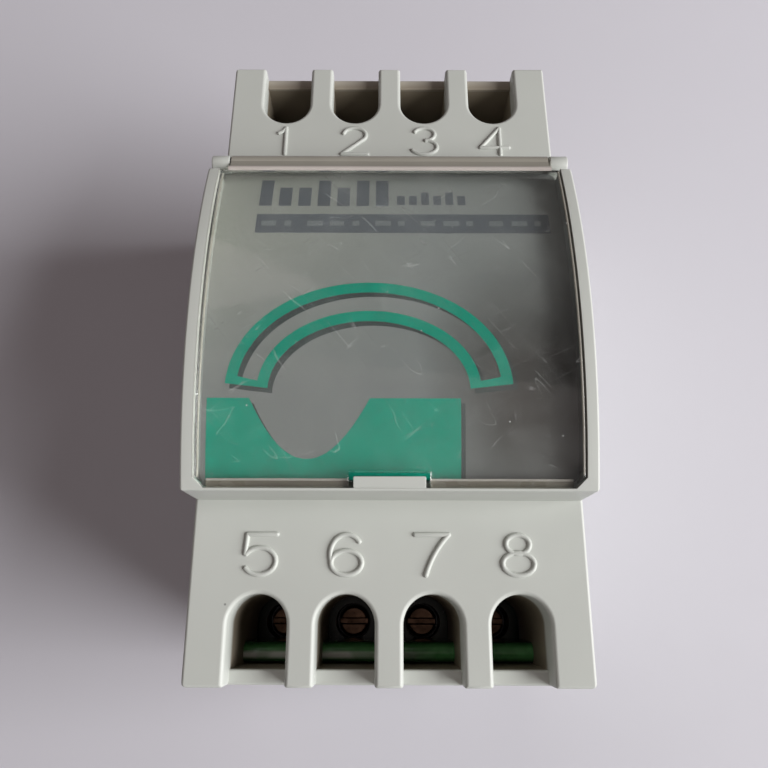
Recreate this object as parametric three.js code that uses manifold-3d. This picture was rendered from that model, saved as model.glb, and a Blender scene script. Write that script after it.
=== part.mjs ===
// Relay module for a 35 mm DIN rail, built as it comes apart on a bench.
//
// Frame: millimetres, origin at the centre of the face that sits on the rail.
// +X runs along the rail, +Y towards terminals 1 to 4, +Z out of the front of the module.

import * as THREE from 'three';
import { mergeVertices } from 'three/addons/utils/BufferGeometryUtils.js';
import Module from 'manifold-3d';

const wasm = await Module();
wasm.setup();

// ---------- Driving dimensions ----------

const WIDTH = 45;
const LENGTH = 83.2;
const SHOULDER_Z = 44;
const SHOULDER_DROP = 0.65;
const JOIN_Z = 5;
const JOIN_GAP = 0.15;
const WALL = 1.6;
const END_WALL = 1.65;
const SHOULDER_ROOF = 2.3;

// The nose: the raised middle with a crowned front.
const NOSE_LENGTH = 43;
const NOSE_RISE = 6.6;
const CROWN_RISE = 10.4;
const NOSE_INSIDE_Y = 19.6;
const RAIL_STRIP = 1.4;
const NEAR_LIP = 0.55;
const RECESS_DEPTH = 3.2;
const RECESS_FLOOR = 1.4;
const RECESS_FAR_Y = 18.3;

// The window cover with its hinge and its finger notch.
const COVER = { gap: 0.3, thick: 1.2, skirtDepth: 2.9, skirt: 1.1, corner: 0.7 };
const HINGE = { y: 20.3, z: 49.6, bar: 1.1, pin: 0.6, hole: 0.75, ear: 1.2 };
const HINGE_CHANNEL_Z = 48.3;
const EAR_WIDTH = 2.3;
const NOTCH_HALF = 4.4;
const TAB_HALF = 3.9;
const TAB_DEPTH = 1.2;
const CARD = { half: 19.4, near: -19.1, far: 17.6, thick: 0.37 };

// Terminals: four along each end of the module.
const POLES = 4;
const TERMINAL_PITCH = 9.77;
const TERMINAL_Y = 35.2;
const SLOT_RADIUS = 3.3;
const SLOT_WALL = 1.7;
const SLOT_LEDGE_Z = 40.4;
const WELL_BOTTOM_Z = 24;
const WIRE_HOLE = { half: 3.1, low: 8.2, high: 14.6, corner: 1 };

// The 35 mm rail and the feet and hooks that straddle it.
const RAIL_HALF = 17.5;
const RAIL_CLEARANCE = 0.4;
const HOOK_GRIP = 1.8;
const SEAT_HALF = 15.2;
const SEAT_RELIEF = 0.3;
const FLANGE_GAP = 1.35;
const FOOT_DEPTH = 5.6;
const FOOT_OUTER_Y = 33.5;
const FOOT_CHAMFER = 1.7;
const FOOT_INSIDE_Z = -4;
const FOOT_INSIDE_Y = 19.6;
const BELLY_Z = -1;
const BASE_FLOOR = 1.8;
const CLIP = {
  tip: -RAIL_HALF + HOOK_GRIP,
  tail: -44.6,
  half: 8,
  neck: 6.8,
  low: -5.5,
  flangeLow: -4.7,
  tailLow: -4.1,
  high: -1.5,
  windowHalf: 2.6,
  windowNear: -31.4,
  windowFar: -21,
  lugDepth: 2.1,
};
const SNAP = { y: 25, half: 2.9, top: 10.4, thick: 1.35, windowLow: 7.4, windowHigh: 9.6 };

// Circuit boards.
const BOARD_THICK = 1.6;
const BOARD_HALF = 20.4;
const POWER_BOARD_Z = 5.6;
const POWER_BOARD_HALF_Y = 39.4;
const LOGIC_BOARD_Z = 38.4;
const LOGIC_BOARD_HALF_Y = 28.2;
const BOARD_TOP = POWER_BOARD_Z + BOARD_THICK;
const LOGIC_TOP = LOGIC_BOARD_Z + BOARD_THICK;
const REST_GAP = 0.1;
const LEAD_PITCH = 2.54;

// Rising-cage terminals. Local Y = 0 is the screw line and -Y the wire side.
const STRIP = { z: 11.6, thick: 0.8, half: 2.2, front: -2, back: 4.2, legHalf: 1 };
const CAGE = { half: 3.3, front: -2, back: 2.9, window: 3.5, top: 1.4, bottom: 0.9, side: 0.8 };
const SCREW = { head: 2.1, headLow: 17.6, headHigh: 19.4, shank: 1.5, slot: 0.8, slotDepth: 0.9 };
const BLOCK = {
  front: -4.4, back: 6.6, high: 21.6, round: 1.3,
  chamberHalf: 3.7, chamberBack: 4.6, floor: 8, ceiling: 16.5, seat: 17.4,
};

// The relay's parts, measured from the middle of its base.
const RELAY_AT = [-6.4, -15, BOARD_TOP];
const RELAY = { half: [12.2, 8.7], wall: 0.8, high: 19.4, coilX: -3.5, springX: 4.7, springY: -5.6 };
const YOKE = { left: 2.5, right: 3.7, high: 14.6, footLow: 2.2, footHigh: 3.2, half: 4.5 };
const LUG = { y: -6.4, low: 4.4, high: 5.6 };
const ARMATURE = { low: 14.9, thick: 1.1, left: -8.4, right: 5.1, half: 4.4 };
const CONTACT = { z: 7, radius: 1.2, foot: 2.1, top: 8.4, half: 1.8 };

// The transformer's parts, measured from the board under its middle.
const TRANSFORMER_AT = [-4.6, 11.5, BOARD_TOP];
const CORE = { halfX: 14.5, halfY: 5.5, low: 4.6, high: 24.6, limb: 4.6, window: 10.6 };
const CORE_WINDOW = { low: 8, high: 21.2 };
const BOBBIN = { halfX: 10.2, halfY: 12.2, bore: [4.9, 5.8], tube: [5.7, 6.8], flange: 0.8 };

const ROUND = 24;
const SMALL_ROUND = 16;

// ---------- Finishes ----------

const FINISHES = {
  shell: [0xb9bcb3, 0.55, 0],
  clear: [0xdfe4e2, 0.08, 0],
  card: [0x7f827e, 0.7, 0],
  clip: [0x2a2c2c, 0.5, 0],
  steel: [0xb8bcc0, 0.3, 1],
  brass: [0xc9a45c, 0.35, 1],
  bronze: [0x6e4d36, 0.4, 1],
  copper: [0xb4643a, 0.35, 1],
  nickel: [0xd8d8d4, 0.25, 1],
  iron: [0x7c7f84, 0.45, 1],
  laminate: [0x2f6a43, 0.6, 0],
  block: [0x1f4a30, 0.3, 0],
  black: [0x202124, 0.5, 0],
  relayBlue: [0x2d4f8c, 0.45, 0],
  bobbin: [0xe8e4d8, 0.6, 0],
  film: [0xd0b030, 0.45, 0],
  varistor: [0x2d5aa8, 0.5, 0],
};

// ---------- Making and joining solids ----------

function solid(geometry) {
  const bare = geometry.clone();
  bare.deleteAttribute('normal');
  bare.deleteAttribute('uv');
  const merged = mergeVertices(bare, 1e-4);
  return new wasm.Manifold(new wasm.Mesh({
    numProp: 3,
    vertProperties: new Float32Array(merged.attributes.position.array),
    triVerts: new Uint32Array(merged.index.array),
  }));
}

function join(...solids) {
  return solids.reduce((sum, next) => sum.add(next));
}

function cut(body, ...tools) {
  return tools.reduce((left, tool) => left.subtract(tool), body);
}

function piece(name, finish, body, at = [0, 0, 0]) {
  const cutMesh = body.getMesh();
  const geometry = new THREE.BufferGeometry();
  geometry.setAttribute('position', new THREE.BufferAttribute(cutMesh.vertProperties, 3));
  geometry.setIndex(new THREE.BufferAttribute(cutMesh.triVerts, 1));
  geometry.computeVertexNormals();
  const [color, roughness, metalness] = FINISHES[finish];
  const material = new THREE.MeshStandardMaterial({ color, roughness, metalness });
  const mesh = new THREE.Mesh(geometry, material);
  mesh.name = name;
  mesh.position.set(...at);
  return mesh;
}

// A block that fills a span along each of x, y and z.
function block(...spans) {
  const size = spans.map(([low, high]) => high - low);
  const middle = spans.map(([low, high]) => (low + high) / 2);
  return solid(new THREE.BoxGeometry(...size).translate(...middle));
}

// The span symmetric about zero.
function across(half) {
  return [-half, half];
}

// The span between two distances from zero, on the side given as 1 or -1.
function span(side, inner, outer) {
  return side > 0 ? [inner, outer] : [-outer, -inner];
}

// A span of a given half width about a middle.
function about(middle, half) {
  return [middle - half, middle + half];
}

// A round bar that fills a span along x, y or z.
function bar(axis, radius, [low, high], centre, sides = ROUND) {
  const geometry = new THREE.CylinderGeometry(radius, radius, high - low, sides);
  geometry.translate(0, (low + high) / 2, 0);
  if (axis === 'x') geometry.rotateZ(-Math.PI / 2);
  if (axis === 'z') geometry.rotateX(Math.PI / 2);
  return solid(geometry.translate(...centre));
}

function extruded(outline, length, curveSegments) {
  return new THREE.ExtrudeGeometry(outline, { depth: length, bevelEnabled: false, curveSegments });
}

// An outline drawn in the Y-Z plane, run along X.
function sideRun(outline, [low, high], curveSegments = 9) {
  const basis = new THREE.Matrix4().makeBasis(
    new THREE.Vector3(0, 1, 0), new THREE.Vector3(0, 0, 1), new THREE.Vector3(1, 0, 0));
  return solid(extruded(outline, high - low, curveSegments).applyMatrix4(basis).translate(low, 0, 0));
}

// An outline drawn in the X-Y plane, run along Z.
function planRun(outline, [low, high], curveSegments = 6) {
  return solid(extruded(outline, high - low, curveSegments).translate(0, 0, low));
}

// An outline drawn in the X-Z plane, run along Y.
function endRun(outline, [low, high], curveSegments = 2) {
  return solid(extruded(outline, high - low, curveSegments).rotateX(Math.PI / 2).translate(0, high, 0));
}

function polygon(points) {
  return new THREE.Shape(points.map(([u, v]) => new THREE.Vector2(u, v)));
}

function roundedRectangle([left, right], [low, high], corner) {
  const quarter = Math.PI / 2;
  const shape = new THREE.Shape();
  shape.moveTo(left + corner, low);
  shape.lineTo(right - corner, low);
  shape.absarc(right - corner, low + corner, corner, -quarter, 0);
  shape.absarc(right - corner, high - corner, corner, 0, quarter);
  shape.absarc(left + corner, high - corner, corner, quarter, 2 * quarter);
  shape.absarc(left + corner, low + corner, corner, 2 * quarter, 3 * quarter);
  return shape;
}

// A profile of [radius, z] points turned about Z.
function turned(profile, sides = ROUND) {
  const points = profile.map(([radius, z]) => new THREE.Vector2(radius, z));
  return solid(new THREE.LatheGeometry(points, sides).rotateX(Math.PI / 2));
}

// A round wire bent along a helix about the Y or Z axis.
function coilSpring({ axis, radius, wire, length, turns, stepsPerTurn }) {
  const steps = turns * stepsPerTurn;
  const points = [];
  for (let i = 0; i <= steps; i++) {
    const angle = (2 * Math.PI * i) / stepsPerTurn;
    const along = (length * i) / steps;
    const u = radius * Math.cos(angle);
    const v = radius * Math.sin(angle);
    points.push(axis === 'y' ? new THREE.Vector3(u, along, v) : new THREE.Vector3(u, v, along));
  }
  const section = new THREE.Shape();
  section.absarc(0, 0, wire / 2, 0, 2 * Math.PI);
  return solid(new THREE.ExtrudeGeometry(section, {
    steps,
    bevelEnabled: false,
    curveSegments: 3,
    extrudePath: new THREE.CatmullRomCurve3(points),
  }));
}

// ---------- The crowned front ----------

const HALF_NOSE = NOSE_LENGTH / 2;
const HALF_WIDTH = WIDTH / 2;
const HALF_LENGTH = LENGTH / 2;
const INSIDE_X = HALF_WIDTH - WALL;
const INSIDE_Y = HALF_LENGTH - END_WALL;
const CHANNEL_Y = RAIL_HALF + RAIL_CLEARANCE;
const CROWN_Z = SHOULDER_Z + CROWN_RISE;
const CROWN_SAG = CROWN_RISE - NOSE_RISE;
const CROWN_RADIUS = (HALF_NOSE ** 2 + CROWN_SAG ** 2) / (2 * CROWN_SAG);

// Adds an arc that lies a depth below the crown, from one y to another.
function crownArc(path, depth, fromY, toY) {
  const radius = CROWN_RADIUS - depth;
  const start = Math.acos(fromY / radius);
  const end = Math.acos(toY / radius);
  path.absarc(0, CROWN_Z - CROWN_RADIUS, radius, start, end, end < start);
}

// The stretch between two depths below the crown.
function crownBand(topDepth, bottomDepth, [fromY, toY]) {
  const shape = new THREE.Shape();
  crownArc(shape, bottomDepth, fromY, toY);
  crownArc(shape, topDepth, toY, fromY);
  return shape;
}

function terminalX(pole) {
  return (pole - (POLES - 1) / 2) * TERMINAL_PITCH;
}

function eachTerminal(action) {
  for (const side of [1, -1]) {
    for (let pole = 0; pole < POLES; pole++) action(terminalX(pole), side, pole);
  }
}

// Runs an action for each pairing of a left or right side with a near or far end.
function eachCorner(action) {
  for (const side of [-1, 1]) {
    for (const end of [-1, 1]) action(side, end);
  }
}

// ---------- Housing ----------

// A slot with one round end, seen from the front; grow widens it all round.
function slotOutline(x, side, outerY, grow) {
  const radius = SLOT_RADIUS + grow;
  const shape = new THREE.Shape();
  shape.moveTo(x - radius, side * outerY);
  shape.lineTo(x + radius, side * outerY);
  shape.absarc(x, side * TERMINAL_Y, radius, 0, Math.PI, side > 0);
  return shape;
}

function housingShell() {
  const outline = new THREE.Shape();
  outline.moveTo(-HALF_LENGTH, JOIN_Z);
  outline.lineTo(-HALF_LENGTH, SHOULDER_Z - SHOULDER_DROP);
  outline.lineTo(-HALF_NOSE, SHOULDER_Z);
  crownArc(outline, 0, -HALF_NOSE, HALF_NOSE);
  outline.lineTo(HALF_NOSE, SHOULDER_Z);
  outline.lineTo(HALF_LENGTH, SHOULDER_Z - SHOULDER_DROP);
  outline.lineTo(HALF_LENGTH, JOIN_Z);

  const roof = SHOULDER_Z - SHOULDER_ROOF;
  const noseCavity = new THREE.Shape();
  noseCavity.moveTo(NOSE_INSIDE_Y, roof - 1);
  noseCavity.lineTo(-NOSE_INSIDE_Y, roof - 1);
  crownArc(noseCavity, RECESS_DEPTH + RECESS_FLOOR, -NOSE_INSIDE_Y, RECESS_FAR_Y - WALL);
  noseCavity.lineTo(NOSE_INSIDE_Y, HINGE_CHANNEL_Z - RECESS_FLOOR);
  return cut(
    sideRun(outline, across(HALF_WIDTH)),
    block(across(INSIDE_X), across(INSIDE_Y), [JOIN_Z - 1, roof]),
    sideRun(noseCavity, across(INSIDE_X)));
}

// Walled wells lead a screwdriver to each screw; below them are the wire entries.
function addTerminalWells(shell) {
  let body = shell;
  eachTerminal((x, side) => {
    const boot = slotOutline(x, side, INSIDE_Y + END_WALL / 3, SLOT_WALL);
    body = join(body, planRun(boot, [WELL_BOTTOM_Z, SHOULDER_Z - SHOULDER_ROOF / 2]));
  });
  eachTerminal((x, side) => {
    const well = slotOutline(x, side, INSIDE_Y, 0);
    const wireHole = roundedRectangle(
      about(x, WIRE_HOLE.half), [WIRE_HOLE.low, WIRE_HOLE.high], WIRE_HOLE.corner);
    body = cut(
      body,
      planRun(well, [WELL_BOTTOM_Z - 1, SHOULDER_Z + 1]),
      block(
        about(x, SLOT_RADIUS),
        span(side, INSIDE_Y - 0.2, HALF_LENGTH + 1),
        [SLOT_LEDGE_Z, SHOULDER_Z + 1]),
      endRun(wireHole, span(side, INSIDE_Y - 1, HALF_LENGTH + 1)));
  });
  return body;
}

// The recess for the window cover, the channel for its hinge bar, and the two ears.
function addHinge(shell) {
  const nearEdge = -HALF_NOSE + NEAR_LIP;
  const recess = crownBand(-2, RECESS_DEPTH, [nearEdge, RECESS_FAR_Y + 0.01]);
  let body = cut(
    shell,
    sideRun(recess, across(HALF_WIDTH - RAIL_STRIP)),
    block(across(HALF_WIDTH + 1), [RECESS_FAR_Y, HALF_NOSE + 1], [HINGE_CHANNEL_Z, CROWN_Z + 1]));

  const ear = new THREE.Shape();
  ear.moveTo(HINGE.y + HINGE.ear, HINGE_CHANNEL_Z - 0.5);
  ear.lineTo(HINGE.y - HINGE.ear, HINGE_CHANNEL_Z - 0.5);
  ear.absarc(HINGE.y, HINGE.z, HINGE.ear, Math.PI, 0, true);
  for (const side of [-1, 1]) {
    body = join(body, sideRun(ear, span(side, HALF_WIDTH - EAR_WIDTH, HALF_WIDTH), 5));
  }
  const holeSpan = across(HALF_WIDTH - WALL / 2);
  return cut(body, bar('x', HINGE.hole, holeSpan, [0, HINGE.y, HINGE.z], SMALL_ROUND));
}

function addFingerTab(shell) {
  const nearEdge = -HALF_NOSE + NEAR_LIP;
  const tab = crownBand(0.25, RECESS_DEPTH + 0.3, [nearEdge - 0.3, nearEdge + TAB_DEPTH]);
  return join(shell, sideRun(tab, across(TAB_HALF), 4));
}

// Ledges carry the logic board, and windows catch the base's snap tongues.
function addLedgesAndWindows(shell) {
  let body = shell;
  eachCorner((side, end) => {
    body = join(body, block(
      span(side, INSIDE_X - 1.5, INSIDE_X + 0.2),
      span(end, 6, 24),
      [LOGIC_BOARD_Z - BOARD_THICK, LOGIC_BOARD_Z - REST_GAP]));
    body = cut(body, block(
      span(side, INSIDE_X - 0.5, HALF_WIDTH + 0.5),
      about(end * SNAP.y, SNAP.half + 0.3),
      [SNAP.windowLow, SNAP.windowHigh]));
  });
  return body;
}

function frontHousing() {
  const steps = [addTerminalWells, addHinge, addFingerTab, addLedgesAndWindows];
  return piece('front_housing', 'shell', steps.reduce((body, step) => step(body), housingShell()));
}

// ---------- Rear base ----------

// Belly, two feet, and between them the rail channel with its fixed hook. The floor of the
// channel stands proud as a seat and is relieved behind both hooks.
function baseOutline() {
  const top = JOIN_Z - JOIN_GAP;
  const hook = CHANNEL_Y - HOOK_GRIP - RAIL_CLEARANCE;
  const bevel = [[3.2, BELLY_Z], [0, 2.2], [0, top]];
  return polygon([
    ...bevel.map(([inset, z]) => [-HALF_LENGTH + inset, z]).reverse(),
    [-FOOT_OUTER_Y, BELLY_Z],
    [-FOOT_OUTER_Y, -FOOT_DEPTH + FOOT_CHAMFER],
    [-FOOT_OUTER_Y + FOOT_CHAMFER, -FOOT_DEPTH],
    [-CHANNEL_Y, -FOOT_DEPTH],
    [-CHANNEL_Y, SEAT_RELIEF],
    [-SEAT_HALF, SEAT_RELIEF],
    [-SEAT_HALF, 0],
    [SEAT_HALF, 0],
    [SEAT_HALF, SEAT_RELIEF],
    [CHANNEL_Y, SEAT_RELIEF],
    [CHANNEL_Y, -FLANGE_GAP],
    [hook, -FLANGE_GAP],
    [hook, -2.3],
    [CHANNEL_Y + 0.7, -FOOT_DEPTH],
    [FOOT_OUTER_Y - FOOT_CHAMFER, -FOOT_DEPTH],
    [FOOT_OUTER_Y, -FOOT_DEPTH + FOOT_CHAMFER],
    [FOOT_OUTER_Y, BELLY_Z],
    ...bevel.map(([inset, z]) => [HALF_LENGTH - inset, z]),
  ]);
}

// A groove under two lips guides the clip, and a lug in it carries the clip's spring.
function addClipGuide(base) {
  const groove = [-FOOT_OUTER_Y - 1, -CHANNEL_Y + 1];
  const slack = 0.3;
  const lug = [CLIP.windowNear + 0.6, CLIP.windowNear + CLIP.lugDepth];
  return join(
    cut(
      base,
      block(across(CLIP.half + slack), groove, [CLIP.flangeLow - 0.2, CLIP.high + 0.2]),
      block(across(CLIP.neck + slack), groove, [-FOOT_DEPTH - 1, CLIP.high - 1])),
    block(across(CLIP.windowHalf - 0.8), lug, [CLIP.low + 0.4, CLIP.high + 0.4]));
}

function addBoardPosts(base) {
  let body = base;
  for (const x of across(10)) {
    for (const y of [-36.5, 0, 36.5]) {
      body = join(body, bar('z', 2, [BASE_FLOOR - 0.5, POWER_BOARD_Z - REST_GAP], [x, y, 0], SMALL_ROUND));
    }
  }
  return body;
}

// Snap tongues stand inside the walls, with their barbs in the housing's windows.
function addSnapTongues(base) {
  const low = BASE_FLOOR - 0.3;
  const barb = polygon([[0, 7.8], [1.35, 7.8], [0.1, 9.4], [0, 9.4]]);
  let body = base;
  eachCorner((side, end) => {
    const along = about(end * SNAP.y, SNAP.half);
    const hook = endRun(barb, along).translate(INSIDE_X - 0.2, 0, 0);
    body = join(
      body,
      block(span(side, INSIDE_X - SNAP.thick, INSIDE_X - 0.15), along, [low, SNAP.top]),
      block(span(side, INSIDE_X - SNAP.thick, INSIDE_X + 0.3), along, [low, JOIN_Z - 0.55]),
      side > 0 ? hook : hook.mirror([1, 0, 0]));
  });
  return body;
}

function rearBase() {
  const pocketX = INSIDE_X - 1.9;
  const pocketZ = [FOOT_INSIDE_Z, BASE_FLOOR + 1];
  const pocketEnd = FOOT_OUTER_Y - FOOT_CHAMFER;
  let base = cut(
    sideRun(baseOutline(), across(HALF_WIDTH)),
    block(across(INSIDE_X), across(INSIDE_Y), [BASE_FLOOR, JOIN_Z]),
    block(across(pocketX), [FOOT_INSIDE_Y, pocketEnd], pocketZ));
  for (const side of [-1, 1]) {
    base = cut(base, block(span(side, CLIP.half + 2, pocketX), [-pocketEnd, -FOOT_INSIDE_Y], pocketZ));
  }
  const steps = [addClipGuide, addBoardPosts, addSnapTongues];
  return piece('rear_base', 'shell', steps.reduce((body, step) => step(body), base));
}

// ---------- Rail clip ----------

function dinClip() {
  const side = polygon([
    [CLIP.tip, CLIP.high],
    [CLIP.tip, -2.3],
    [CLIP.tip - 3.2, CLIP.low],
    [-36, CLIP.low],
    [-37.6, CLIP.tailLow],
    [CLIP.tail + 0.6, CLIP.tailLow],
    [CLIP.tail, CLIP.tailLow + 0.6],
    [CLIP.tail, CLIP.high],
  ]);
  const through = [CLIP.low - 1, CLIP.high + 1];
  const flange = block(across(CLIP.half), [-FOOT_OUTER_Y + 0.4, -20.4], [CLIP.flangeLow, CLIP.high]);
  const pull = roundedRectangle(across(3.2), [-42.8, -40.4], 0.6);
  return piece('din_clip', 'clip', cut(
    join(sideRun(side, across(CLIP.neck)), flange),
    block(across(CLIP.windowHalf), [CLIP.windowNear, CLIP.windowFar], through),
    planRun(pull, through, 3)));
}

function clipSpring() {
  const wire = 0.5;
  const lugFace = CLIP.windowNear + CLIP.lugDepth;
  const length = CLIP.windowFar - lugFace - 1.8 * wire;
  const body = coilSpring({ axis: 'y', radius: 1.25, wire, length, turns: 5, stepsPerTurn: 12 });
  return piece('clip_spring', 'steel', body, [0, lugFace + 0.9 * wire, -3.3]);
}

// ---------- Window cover and card ----------

function windowCover() {
  const half = HALF_WIDTH - RAIL_STRIP - COVER.gap;
  const near = -HALF_NOSE + NEAR_LIP + 0.2;
  const far = RECESS_FAR_Y - 0.2;
  const pane = crownBand(0.1, COVER.thick + 0.1, [near, far]);
  const nearSkirt = crownBand(0.2, COVER.skirtDepth, [near, near + COVER.skirt]);
  const sideSkirt = crownBand(0.2, COVER.skirtDepth, [near, far - 1.2]);
  let cover = join(
    sideRun(pane, across(half)),
    sideRun(nearSkirt, across(half), 3),
    ...[-1, 1].map((side) => sideRun(sideSkirt, span(side, half - COVER.skirt, half))));

  // The hinge bar, its pins, and the web that carries them.
  const barHalf = HALF_WIDTH - EAR_WIDTH - 0.25;
  const web = polygon([
    [far - 1, 51.75],
    [far + 0.2, 51.66],
    [HINGE.y + 0.3, HINGE.z + 1],
    [HINGE.y - 0.9, HINGE.z - 0.4],
    [far - 1, HINGE.z + 1],
  ]);
  cover = join(
    cover,
    sideRun(web, across(barHalf)),
    bar('x', HINGE.bar, across(barHalf), [0, HINGE.y, HINGE.z]),
    bar('x', HINGE.pin, across(HALF_WIDTH - 0.9), [0, HINGE.y, HINGE.z], SMALL_ROUND));

  const tall = [SHOULDER_Z - 4, CROWN_Z + 4];
  cover = cut(cover, block(across(NOTCH_HALF), [near - 1, near + TAB_DEPTH + 0.3], tall));
  for (const side of [-1, 1]) {
    const nip = polygon([
      [side * (half + 1), near - 1],
      [side * (half + 1), near + COVER.corner],
      [side * half, near + COVER.corner],
      [side * (half - COVER.corner), near],
      [side * (half - COVER.corner), near - 1],
    ]);
    cover = cut(cover, planRun(nip, tall));
  }
  return piece('window_cover', 'clear', cover);
}

function labelCard() {
  const low = RECESS_DEPTH - 0.08;
  const card = crownBand(low - CARD.thick, low, [CARD.near, CARD.far]);
  return piece('label_card', 'card', sideRun(card, across(CARD.half)));
}

// ---------- Terminals ----------

function terminalBlock(name, side) {
  const low = BOARD_TOP + REST_GAP;
  const roundY = BLOCK.front + BLOCK.round;
  const outline = new THREE.Shape();
  outline.moveTo(BLOCK.back, low);
  outline.lineTo(BLOCK.back, BLOCK.high);
  outline.lineTo(roundY, BLOCK.high);
  outline.absarc(roundY, BLOCK.high - BLOCK.round, BLOCK.round, Math.PI / 2, Math.PI);
  outline.lineTo(BLOCK.front, low);
  let body = sideRun(outline, across((POLES * TERMINAL_PITCH) / 2), 3);
  for (let pole = 0; pole < POLES; pole++) {
    const x = terminalX(pole);
    body = cut(
      body,
      bar('z', SCREW.head + 0.35, [BLOCK.seat, BLOCK.high + 1], [x, 0, 0]),
      bar('z', SCREW.shank + 0.3, [BLOCK.ceiling - 0.5, BLOCK.seat + 0.2], [x, 0, 0], SMALL_ROUND),
      block(
        about(x, BLOCK.chamberHalf),
        [BLOCK.front - 1, BLOCK.chamberBack],
        [BLOCK.floor, BLOCK.ceiling]),
      block(about(x, STRIP.legHalf + 0.3), [STRIP.back - 1.2, STRIP.back + 0.3], [low - 1, BLOCK.floor + 1]));
  }
  return facing(side, piece(name, 'block', body));
}

// Stands a terminal piece on its screw line, with the wire side outwards.
function facing(side, mesh, x = 0) {
  mesh.position.set(x, side * TERMINAL_Y, 0);
  mesh.rotation.z = side > 0 ? Math.PI : 0;
  return mesh;
}

// Slotted screw: head on the block's ceiling, shank through the cage's top wall.
function screwSolid() {
  const tip = STRIP.z + STRIP.thick + 0.15;
  const profile = [
    [0, tip],
    [SCREW.shank - 0.4, tip],
    [SCREW.shank, tip + 0.5],
    [SCREW.shank, SCREW.headLow],
    [SCREW.head, SCREW.headLow],
    [SCREW.head, SCREW.headHigh - 0.25],
    [SCREW.head - 0.3, SCREW.headHigh],
    [0, SCREW.headHigh],
  ];
  const slotZ = [SCREW.headHigh - SCREW.slotDepth, SCREW.headHigh + 1];
  return cut(turned(profile, 20), block(across(SCREW.head + 1), across(SCREW.slot / 2), slotZ));
}

// Cage at its lowest, with the contact strip just under its top wall.
function cageSolid() {
  const high = STRIP.z + STRIP.thick + REST_GAP;
  const low = high - CAGE.window;
  return cut(
    block(across(CAGE.half), [CAGE.front, CAGE.back], [low - CAGE.bottom, high + CAGE.top]),
    block(across(CAGE.half - CAGE.side), [CAGE.front - 1, CAGE.back + 1], [low, high]),
    bar('z', SCREW.shank + 0.12, [high - 0.5, high + CAGE.top + 1], [0, 0, 0], 20));
}

// Contact strip: a tongue through the cage, and a leg through the board.
function stripSolid() {
  const top = STRIP.z + STRIP.thick;
  const leg = [STRIP.back - STRIP.thick, STRIP.back];
  return join(
    block(across(STRIP.half), [STRIP.front, STRIP.back], [STRIP.z, top]),
    block(across(STRIP.half), leg, [STRIP.z - 2.6, top]),
    block(across(STRIP.legHalf), leg, [POWER_BOARD_Z - 1.2, STRIP.z - 2.4]));
}

function terminals() {
  const group = new THREE.Group();
  group.add(terminalBlock('terminal_block_1_to_4', 1), terminalBlock('terminal_block_5_to_8', -1));
  const kinds = [
    ['terminal_screw', 'bronze', screwSolid()],
    ['terminal_cage', 'nickel', cageSolid()],
    ['terminal_strip', 'brass', stripSolid()],
  ];
  eachTerminal((x, side, pole) => {
    const number = side > 0 ? pole + 1 : pole + 1 + POLES;
    for (const [name, finish, body] of kinds) {
      group.add(facing(side, piece(`${name}_${number}`, finish, body), x));
    }
  });
  return group;
}

// ---------- Circuit boards ----------

function powerBoard() {
  const through = [POWER_BOARD_Z - 1, BOARD_TOP + 1];
  let board = block(across(BOARD_HALF), across(POWER_BOARD_HALF_Y), [POWER_BOARD_Z, BOARD_TOP]);
  eachCorner((side, end) => {
    const notchX = span(side, INSIDE_X - 1.7, BOARD_HALF + 1);
    board = cut(board, block(notchX, about(end * SNAP.y, SNAP.half + 0.5), through));
  });
  eachTerminal((x, side) => {
    const legY = side * (TERMINAL_Y - STRIP.back + STRIP.thick / 2);
    board = cut(board, block(about(x, STRIP.legHalf + 0.25), about(legY, 0.7), through));
  });
  return piece('power_board', 'laminate', board);
}

function logicBoard() {
  const board = block(across(BOARD_HALF), across(LOGIC_BOARD_HALF_Y), [LOGIC_BOARD_Z, LOGIC_TOP]);
  return piece('logic_board', 'laminate', board);
}

// Pin strip that carries the logic board's signals down to the power board.
function boardLink() {
  const pins = 6;
  const strip = 2.4;
  const y = 26.4;
  const low = BOARD_TOP + REST_GAP;
  const high = LOGIC_BOARD_Z - REST_GAP;
  let link = join(
    block(across(8), about(y, 1.1), [low, low + strip]),
    block(across(8), about(y, 1.1), [high - strip, high]));
  for (let pin = 0; pin < pins; pin++) {
    const x = (pin - (pins - 1) / 2) * LEAD_PITCH;
    link = join(link, block(about(x, 0.32), about(y, 0.32), [low + 1, high - 1]));
  }
  return piece('board_link', 'black', link);
}

// ---------- Switching relay ----------

function relayCoil() {
  const at = [RELAY.coilX, 0, 0];
  const bobbin = turned([
    [2.05, 3.4], [5.6, 3.4], [5.6, 4.2], [2.8, 4.2],
    [2.8, 12], [5.6, 12], [5.6, 12.8], [2.05, 12.8], [2.05, 3.4],
  ]);
  const winding = turned([[2.95, 4.35], [5.15, 4.35], [5.15, 11.85], [2.95, 11.85], [2.95, 4.35]]);
  const core = turned([[0, 3.3], [1.9, 3.3], [1.9, 13.1], [3.6, 13.1], [3.6, 13.9], [0, 13.9]]);
  return [
    piece('relay_bobbin', 'bobbin', bobbin, at),
    piece('relay_winding', 'copper', winding, at),
    piece('relay_core', 'iron', core, at),
  ];
}

// The yoke holds the core; a lug on its side anchors the armature's spring.
function relayYoke() {
  const wall = [YOKE.left, YOKE.right];
  return piece('relay_yoke', 'iron', join(
    block([-7, YOKE.right], across(YOKE.half), [YOKE.footLow, YOKE.footHigh]),
    block(wall, across(YOKE.half), [YOKE.footLow, YOKE.high]),
    block(wall, [LUG.y, -YOKE.half + 0.3], [LUG.low, LUG.high]),
    block([YOKE.left, 5.6], [LUG.y, LUG.y + 1.6], [LUG.low, LUG.high])));
}

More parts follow.
